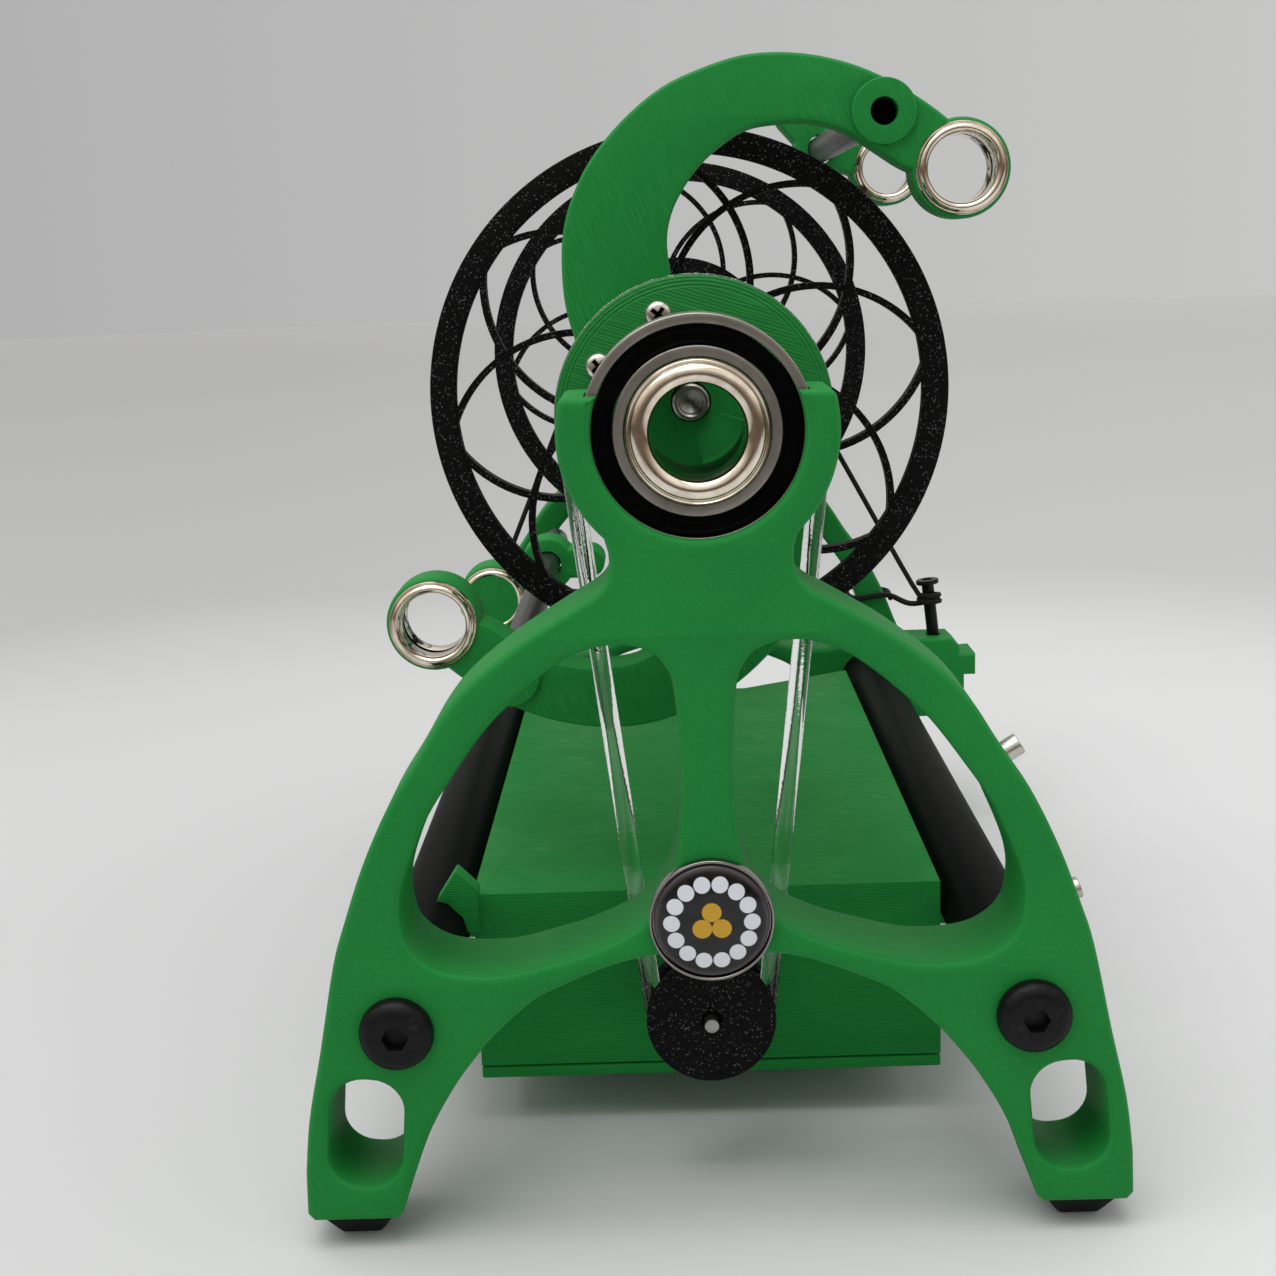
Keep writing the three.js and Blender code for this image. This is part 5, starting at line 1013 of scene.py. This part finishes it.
dome_r = BADGE_R - BADGE_WALL - GAP
crown = [
    (share * dome_r, badge_front + GAP - (BADGE_CROWN + GAP) * math.sqrt(1 - share**2))
    for share in (0, 0.1, 0.2, 0.3, 0.4, 0.5, 0.6, 0.7, 0.78, 0.85, 0.9, 0.94, 0.97, 0.99, 1)
]
crown += [(dome_r, PLATE_FRONT - BADGE_FLOOR), (0, PLATE_FRONT - BADGE_FLOOR)]
dome = turned("badge_dome_clear", crown, 0, -BADGE_DROP, 96)
dome_finish = Finish("badge_dome", Roughness=0.12, Specular_IOR_Level=0.4)
x, _, z = dome_finish.xyz(dome_finish.spot)
z = z + BADGE_DROP
reach = (x * x + z * z) ** 0.5
ring = dome_finish.soft(reach, dome_r - 1, dome_r)


def dots(turns, out, r):
    """1 on round dots of radius r with their centres at the turns, and 0 beside them."""
    share = 0.0
    for turn in turns:
        dot_x, dot_z = polar(turn, out)
        away = ((x - dot_x) ** 2 + (z - dot_z) ** 2) ** 0.5
        share = (1 - dome_finish.soft(away, r - 0.06, r + 0.06)) + share
    return share


patch = dome_finish.soft(dome_finish.noise(0.35, 3), 0.3, 0.7)
tone = dome_finish.mix(patch, (0.003, 0.0025, 0.003), (0.012, 0.010, 0.010))
dot_turns = [step * 360 / DOT_COUNT for step in range(DOT_COUNT)]
tone = dome_finish.mix(dots(dot_turns, DOT_REACH, DOT_R), tone, (0.70, 0.71, 0.76))
tone = dome_finish.mix(dots((90, 210, 330), GOLD_REACH, GOLD_R), tone, (0.55, 0.31, 0.012))
tone = dome_finish.mix(ring * 0.6, tone, (0.10, 0.09, 0.10))
dome_clear = dome_finish.put(Base_Color=tone).bump(dome_finish.noise(0.6, 2), 0.01).material
fitted(dome, dome_clear, "frame", "badge_dome", smooth=50)

# Base: a printed box on two saddles that clip under the tubes, with a fin in front by the left
# tube. It holds the motor and the board, and a cover snaps in from below.
base_green = printed_green("base_green", 2, "lines", 0.07)


def copied(node, edge):
    """A copy of a CAD solid, merged from its loose triangles, with its edges softened."""
    take(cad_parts[node])
    bpy.ops.object.duplicate()
    piece = bpy.context.object
    for key in list(piece.keys()):
        del piece[key]
    piece.name = f"{node}_print"
    edited(
        piece,
        lambda: bpy.ops.mesh.remove_doubles(threshold=1e-5),
        lambda: bpy.ops.mesh.dissolve_limited(angle_limit=math.radians(1)),
    )
    return rounded_off(piece, edge, 2, 40)


for node, edge in (("base_box", 0.5), ("base_cover", 0.35)):
    fitted(copied(node, edge), base_green, "frame", node, smooth=35)

board_finish = Finish("circuit_board", Roughness=0.38, Specular_IOR_Level=0.5)
x, y, z = board_finish.xyz(board_finish.spot)
tracks = ((x * 2.2).math("SINE") * (y * 1.4).math("SINE")) > 0.55
copper = tracks * (board_finish.noise(0.12, 1) > 0.5)
board_finish.put(
    Base_Color=board_finish.mix(copper * 0.6, (0.008, 0.070, 0.026), (0.045, 0.19, 0.065)),
    Roughness=board_finish.noise(1.5, 3) * 0.2 + 0.28,
)
board_green = board_finish.bump(copper, 0.03).material
fitted(copied("control_board", 0.25), board_green, "frame", "control_board")

# Motor and belt: a small plated can held between ribs in the base, its shaft through the front
# wall with a grooved black pulley, and a clear round belt round that and the flyer's disc.
BASE_HALF, BASE_FRONT, BASE_NOTCH, BASE_WALL = 38.5, 40, 183.6, 2.6
MOTOR_DROP, MOTOR_R, MOTOR_LONG, MOTOR_BOSS_R, MOTOR_BOSS_TALL = 94.5, 12, 44, 5, 1.2
MOTOR_SHAFT_R, MOTOR_SHAFT_TIP = 1.15, 19.8
PULLEY_RUN_R, PULLEY_R, PULLEY_LONG, PULLEY_HUB_R, PULLEY_HUB_LONG = 8.8, 10.2, 8, 5, 5
BELT_R, BELT_RUN_R = 1.5, 19.4
motor_front = BASE_FRONT + BASE_WALL
motor_back = motor_front + MOTOR_LONG
motor_metal = metal("motor_steel", (0.42, 0.42, 0.42), 0.34, 1.2)
can = turned("motor_can", rounded([
    (0, BASE_FRONT + GAP), (MOTOR_BOSS_R, BASE_FRONT + GAP), (MOTOR_BOSS_R, motor_front),
    (MOTOR_R, motor_front), (MOTOR_R, motor_back), (MOTOR_BOSS_R, motor_back),
    (MOTOR_BOSS_R, motor_back + MOTOR_BOSS_TALL), (0, motor_back + MOTOR_BOSS_TALL),
], 0.8), 0, -MOTOR_DROP, 72)
fitted(can, motor_metal, "frame", "motor_body")
rod = disc(MOTOR_SHAFT_R, MOTOR_SHAFT_TIP, BASE_FRONT, 0.2, 0, -MOTOR_DROP, 32, "motor_shaft_steel")
fitted(rod, motor_metal, "motor_rotor", "motor_shaft")

pulley_front, pulley_back = BELT_AT - PULLEY_LONG / 2, BELT_AT + PULLEY_LONG / 2
pulley_floor, pulley_bore = PULLEY_RUN_R - BELT_R - GAP, MOTOR_SHAFT_R + GAP
pulley = turned("motor_pulley_print", rounded([
    (pulley_bore, pulley_front), (PULLEY_R, pulley_front), *groove(PULLEY_R, pulley_floor),
    (PULLEY_R, pulley_back), (PULLEY_HUB_R, pulley_back),
    (PULLEY_HUB_R, pulley_back + PULLEY_HUB_LONG), (pulley_bore, pulley_back + PULLEY_HUB_LONG),
], 0.5), 0, -MOTOR_DROP, 96)
fitted(pulley, glitter_black, "motor_rotor", "motor_pulley")

clear_belt = mottled(
    "clear_belt", (0.5, 3), ((0.90, 0.94, 0.90), (0.97, 0.99, 0.97)), (0.06, 0.02), (1.5, 2), 0.03,
    IOR=1.5, Specular_IOR_Level=0.5, Transmission_Weight=1.0,
)
lean = math.degrees(math.asin((BELT_RUN_R - PULLEY_RUN_R) / MOTOR_DROP))
top_run = arc(0, 0, BELT_RUN_R, -lean, 180 + lean, 72)
low_run = arc(0, -MOTOR_DROP, PULLEY_RUN_R, 180 + lean, 360 - lean, 40)


def strand(a, b, steps=24):
    return [(a[0] + (b[0] - a[0]) * i / steps, a[1] + (b[1] - a[1]) * i / steps) for i in range(1, steps)]


run = top_run + strand(top_run[-1], low_run[0]) + low_run + strand(low_run[-1], top_run[0])
belt = round_line("round_belt", [(x, BELT_AT, z) for x, z in run], BELT_R, closed=True)
fitted(belt, clear_belt, "frame", "drive_belt", smooth=60)

# Controls: a rotary speed control on the rear wall with its ribbed knob, a barrel power inlet
# in the left wall and a rocker switch in the right one, all black mouldings.
KNOB_DROP, KNOB_R, KNOB_LONG, KNOB_LINE, POT_BUSH_LONG, POT_SHAFT_R, RUN_GAP = 95, 7.5, 11, 1, 5, 2.6, 0.5
JACK_AT, SIDE_DROP, JACK_R, JACK_LONG, JACK_BORE_R, JACK_FLOOR = 140, 100.4, 4, 11, 2.8, 1.2
JACK_FLANGE_R, JACK_FLANGE_TALL, JACK_PIN_R, KNOB_RIBS = 5.4, 1.2, 0.9, 12
moulding = Finish("black_moulding", Specular_IOR_Level=0.25)
grain = moulding.noise(2.6, 3)
moulding.put(
    Base_Color=moulding.mix(grain, (0.006, 0.006, 0.007), (0.013, 0.013, 0.014)),
    Roughness=moulding.noise(0.3, 3) * 0.2 + 0.24,
)
black_moulding = moulding.bump(grain, 0.02).material
for node, body in (("speed_control", "frame"), ("switch_housing", "frame"), ("power_rocker", "rocker")):
    fitted(copied(node, 0.25), black_moulding, body, node)

knob_front = BASE_NOTCH + POT_BUSH_LONG + RUN_GAP
knob_back = knob_front + KNOB_LONG
knob = turned("knob_cap", rounded([
    (0, knob_front), (KNOB_R, knob_front), (KNOB_R - 0.3, knob_back), (0, knob_back),
], 0.7), 0, -KNOB_DROP, 96)
together(knob, drill(POT_SHAFT_R, BASE_NOTCH - BASE_WALL + GAP, knob_front + 1, 0, -KNOB_DROP, 40))
for i in range(KNOB_RIBS):
    x, z = polar(360 / KNOB_RIBS * i, KNOB_R + KNOB_LINE / 2)
    without(knob, drill(KNOB_LINE, knob_front - 1, knob_back - KNOB_LINE, x, z - KNOB_DROP, 16))
middle = (0, knob_back, -KNOB_DROP + (KNOB_LINE + KNOB_R) / 2 + 0.5)
without(knob, brick(middle, (KNOB_LINE, 2 * KNOB_LINE, KNOB_R - KNOB_LINE + 1)))
fitted(knob, black_moulding, "knob", "speed_knob")

jack_in, jack_out = -BASE_HALF + JACK_LONG, -BASE_HALF - JACK_FLANGE_TALL
jack = turned("inlet_moulding", rounded([
    (0, -BASE_HALF), (JACK_PIN_R, -BASE_HALF), (JACK_PIN_R, jack_in - JACK_FLOOR),
    (JACK_BORE_R, jack_in - JACK_FLOOR), (JACK_BORE_R, jack_out), (JACK_FLANGE_R, jack_out),
    (JACK_FLANGE_R, -BASE_HALF), (JACK_R, -BASE_HALF), (JACK_R, jack_in), (0, jack_in),
], 0.3), JACK_AT, -SIDE_DROP, 64, lie="X")
fitted(jack, black_moulding, "frame", "power_inlet")

# Brake: a printed block on the rear plate's right leg carries a black peg that leans a little.
# A thin black cord comes from the post on the left leg, over the bobbin's groove, round the
# peg, and is tied round the leg. Turning the peg tightens it.
BLOCK_IN, BLOCK_OUT, BLOCK_WIDER, BLOCK_TOP, BLOCK_LOW = 50.4, 67, 68.2, 72.4, 92
BLOCK_CAP, BLOCK_CORNER, BLOCK_FRONT = 4.2, 1.8, 202.5
TAB_OUT, TAB_TOP, TAB_LOW = 71, 76.4, 81.6
PEG_OUT, PEG_LEAN, PEG_R, PEG_RISE, PEG_SINK, PEG_HEAD_R, PEG_HEAD_TALL = 61.4, 6, 1.5, 12.9, 9, 2.8, 1.2
BRAKE_AT, SOCKET_DEEP = 209, 0.6
block = cut_out("tension_block_print", [
    (BLOCK_IN, -BLOCK_TOP), (BLOCK_OUT - BLOCK_CORNER, -BLOCK_TOP), (BLOCK_OUT, -BLOCK_TOP - BLOCK_CORNER),
    (BLOCK_OUT, -BLOCK_TOP - BLOCK_CAP), (TAB_OUT, -TAB_TOP), (TAB_OUT, -TAB_LOW), (BLOCK_WIDER, -TAB_LOW),
    (BLOCK_WIDER, -BLOCK_LOW), (BLOCK_IN, -BLOCK_LOW),
], [], BLOCK_FRONT, REAR_FRONT, 0.7, 3)
lean = Matrix.Rotation(math.radians(-PEG_LEAN), 4, "Y")
turn_peg = Matrix.Translation(at(PEG_OUT, BRAKE_AT, -BLOCK_TOP)) @ lean


def on_peg(name, profile, steps=48):
    piece = turned(name, profile, steps=steps, lie="Z")
    piece.data.transform(turn_peg @ Matrix.Translation(-AXIS))
    return piece


without(
    block, drill(TUBE_R + GAP, BLOCK_FRONT - 1, REAR_FRONT + 1, TUBE_OUT, -TUBE_DROP),
    on_peg("hole", bar(PEG_R + GAP, -PEG_SINK - GAP, 2)),
)
block_green = printed_green("block_green", 2, "lines", 0.07)
fitted(block, block_green, "frame", "tension_block", smooth=40)

peg_top = PEG_RISE + PEG_HEAD_TALL
peg = on_peg("peg_steel", rounded([
    (0, -PEG_SINK), (PEG_R, -PEG_SINK), (PEG_R, PEG_RISE), (PEG_HEAD_R, PEG_RISE),
    (PEG_HEAD_R, peg_top), (0, peg_top),
], 0.4))
without(peg, on_peg("socket", bar(PEG_R, peg_top - SOCKET_DEEP, peg_top + 1), 6))
fitted(peg, black_oxide, "peg", "tension_peg")

CORD_R, CORD_PITCH, CORD_WRAP, CORD_SLACK, WHORL_RUN, TIE_SHARE = 0.7, 1.5, 600, 3, 20, 0.552
SIDE_DROPPED, WINDOW_DROPPED = placed(SIDE_SHARES, REAR_SLUMP), placed(WINDOW_SHARES, REAR_SLUMP)


def touch(x, z, r):
    """The turn at which a line from x, z touches a circle of radius r about the axis."""
    around, lean = math.degrees(math.atan2(z, x)), math.degrees(math.acos(r / math.hypot(x, z)))
    return around + 360 - lean if x < 0 else around + lean


def rightmost(line, height):
    """The farthest x at which a line of points crosses a height."""
    spots = []
    for (ax, az), (bx, bz) in zip(line, line[1:]):
        if (az - height) * (bz - height) <= 0:
            spots.append(ax + (bx - ax) * (height - az) / (bz - az))
    return max(spots)


run_r = WHORL_RUN + CORD_R + GAP
start = touch(-POST_OUT, -POST_DROP, run_r)
around_peg = []
for turn in range(0, CORD_WRAP + 1, 30):
    x, y = polar(180 + turn, PEG_R + CORD_R + GAP)
    spot = turn_peg @ (Vector((x, y, PEG_RISE - 2 * CORD_R - 3 * GAP - CORD_PITCH * turn / 360)) * MM)
    around_peg.append(tuple((spot - AXIS) / MM))
wrap_x, _, wrap_z = around_peg[0]
over = [(x, BRAKE_AT, z) for x, z in arc(0, 0, run_r, start, touch(wrap_x, wrap_z, run_r), 12)]
TIE_DROP, bend = TIE_SHARE * PLATE_DROP, PLATE_EDGE + CORD_R
tie_front, tie_back = REAR_FRONT - CORD_R - GAP, REAR_FRONT + REAR_THICK + CORD_R + GAP
inner, outer = TIE_DROP + CORD_PITCH / 2, TIE_DROP + CORD_PITCH
leg_in = rightmost(WINDOW_DROPPED, -inner) - CORD_R - 2 * GAP
leg_out = rightmost(SIDE_DROPPED, -outer) + CORD_R + 2 * GAP
tie = [
    (rightmost(SIDE_DROPPED, -TIE_DROP) + 2 * GAP, tie_front, -TIE_DROP),
    (leg_in + bend, tie_front, -inner), (leg_in, tie_front + bend, -inner),
    (leg_in, tie_back - bend, -inner), (leg_in + bend, tie_back, -inner),
    (leg_out - bend, tie_back, -outer), (leg_out, tie_back - bend, -outer),
    (leg_out, tie_front + 2 * bend, -outer),
]
post_x, post_z = over[0][0], over[0][2]
last = around_peg[-1]
route = [
    (-POST_OUT, BRAKE_AT, -POST_DROP), ((post_x - POST_OUT) / 2, BRAKE_AT, (post_z - POST_DROP) / 2), *over,
    ((over[-1][0] + wrap_x) / 2, BRAKE_AT, (over[-1][2] + wrap_z) / 2), *around_peg,
    ((last[0] + tie[0][0]) / 2, (last[1] + tie_front) / 2, (last[2] - TIE_DROP) / 2 - CORD_SLACK / 2), *tie,
]
route = flowing(route, 6)
cord = round_line("brake_cord_braid", route, CORD_R, sides=10)
cord_finish = Finish("black_cord", Roughness=0.75, Specular_IOR_Level=0.25)
x, y, z = cord_finish.xyz(cord_finish.spot)
weave = ((x + y * 0.6 + z) * 5.2).math("SINE") * ((x - y * 0.6 - z) * 5.2).math("SINE")
cord_finish.put(Base_Color=cord_finish.mix(weave * 0.5 + 0.5, (0.003, 0.003, 0.003), (0.016, 0.015, 0.014)))
fitted(cord, cord_finish.bump(weave, 0.06).material, "frame", "brake_cord", smooth=60)

# Table and light: the wheel stands on a wide pale grey sheet in an even, soft daylight, with
# one large soft window above.
deselect()
bpy.ops.mesh.primitive_circle_add(vertices=96, radius=4, fill_type="NGON", location=(0, 0, 0))
sheet = bpy.context.object
sheet.name = "pale_sheet"
sheet_finish = Finish("pale_sheet", Roughness=0.7, Specular_IOR_Level=0.2)
x, y, _ = sheet_finish.xyz(sheet_finish.spot)
reach = (x * x + (y - 110) ** 2) ** 0.5 + sheet_finish.noise(0.006, 2) * 60
sideways = (x + 5) / ((x + 5) ** 2 + (y + 258) ** 2) ** 0.5
# Painted light: the sheet's grey is graded by distance from the wheel, darker in a band about half a metre
# out where it meets the backdrop, and paler far off where less light reaches
greys = ((0.0, 0.72), (0.065, 0.76), (0.0913, 0.73), (0.13, 0.60), (0.375, 0.73), (1.0, 0.84))
tone = sheet_finish.ramp(reach / 4000, [(far, (grey, grey, grey)) for far, grey in greys])
# Painted light: the sheet is painted a little lighter toward the right
tone = tone * (sheet_finish.soft(sideways, -0.33, 0.33) * 0.16 + 0.89)
# Metal shows the dark room past the table's front edge
mirrored_in = sheet_finish.node("ShaderNodeLightPath", {}, out="Is Glossy Ray")
beyond = sheet_finish.soft(0 - y, 320, 620) * mirrored_in
sheet_finish.put(Base_Color=sheet_finish.mix(beyond, tone, (0.10, 0.065, 0.042)))
sheet.data.materials.append(sheet_finish.material)

sky = bpy.data.worlds.new("soft_daylight")
bpy.context.scene.world = sky
sky.use_nodes = True
sky.node_tree.nodes.clear()
air = Nodes(sky.node_tree)
camera_ray, glossy_ray, through_ray = (
    air.node("ShaderNodeLightPath", {}, out=f"Is {kind} Ray") for kind in ("Camera", "Glossy", "Transmission")
)
direction = air.node("ShaderNodeTexCoord", {}, out="Generated")


def sky_ramp(lean, stops):
    """Colours by how far a direction leans along lean, from -1 to 1 as 0 to 1."""
    halved = [part / 2 for part in lean]
    dot = air.node("ShaderNodeVectorMath", {"operation": "DOT_PRODUCT"}, direction, halved, out="Value")
    return air.ramp(dot + 0.5, stops)


# The backdrop is a little brighter on the right. Metal also shows the room's bright ceiling
# and its dark sides.
plain = sky_ramp((1, 0, 0), [(0.33, (0.44, 0.44, 0.44)), (0.67, (0.57, 0.57, 0.565))])
rising = sky_ramp((0, 0, 1), [
    (0.5, (0.13, 0.08, 0.05)), (0.6, (0.42, 0.37, 0.31)), (0.75, (1.0, 0.97, 0.90)),
])
toward = sky_ramp((0, 1, 0), [
    (0.0, (0.17, 0.13, 0.10)), (0.55, (0.09, 0.065, 0.045)), (0.75, (0.50, 0.50, 0.49)),
])
room = air.mix(1.0, rising, toward, "LIGHTEN")
backdrop = air.node("ShaderNodeBackground", {}, air.mix(glossy_ray, plain, room))
fill = air.node("ShaderNodeBackground", {}, (1.0, 1.0, 1.0), 0.58)
seen = camera_ray.math("MAXIMUM", glossy_ray.math("MAXIMUM", through_ray))
both = air.node("ShaderNodeMixShader", {}, seen, fill, backdrop)
air.plug(both, sky.node_tree.nodes.new("ShaderNodeOutputWorld").inputs["Surface"])


def window_light(name, size, power, place, aim):
    deselect()
    bpy.ops.object.light_add(type="AREA", location=place)
    lamp = bpy.context.object
    lamp.name = name
    lamp.data.shape, lamp.data.size, lamp.data.energy = "SQUARE", size, power
    lamp.rotation_euler = (Vector(aim) - Vector(place)).to_track_quat("-Z", "Y").to_euler()


window_light("window_above", 1.2, 11.0, (-0.25, -0.35, 1.25), (0, 0, 0.1))
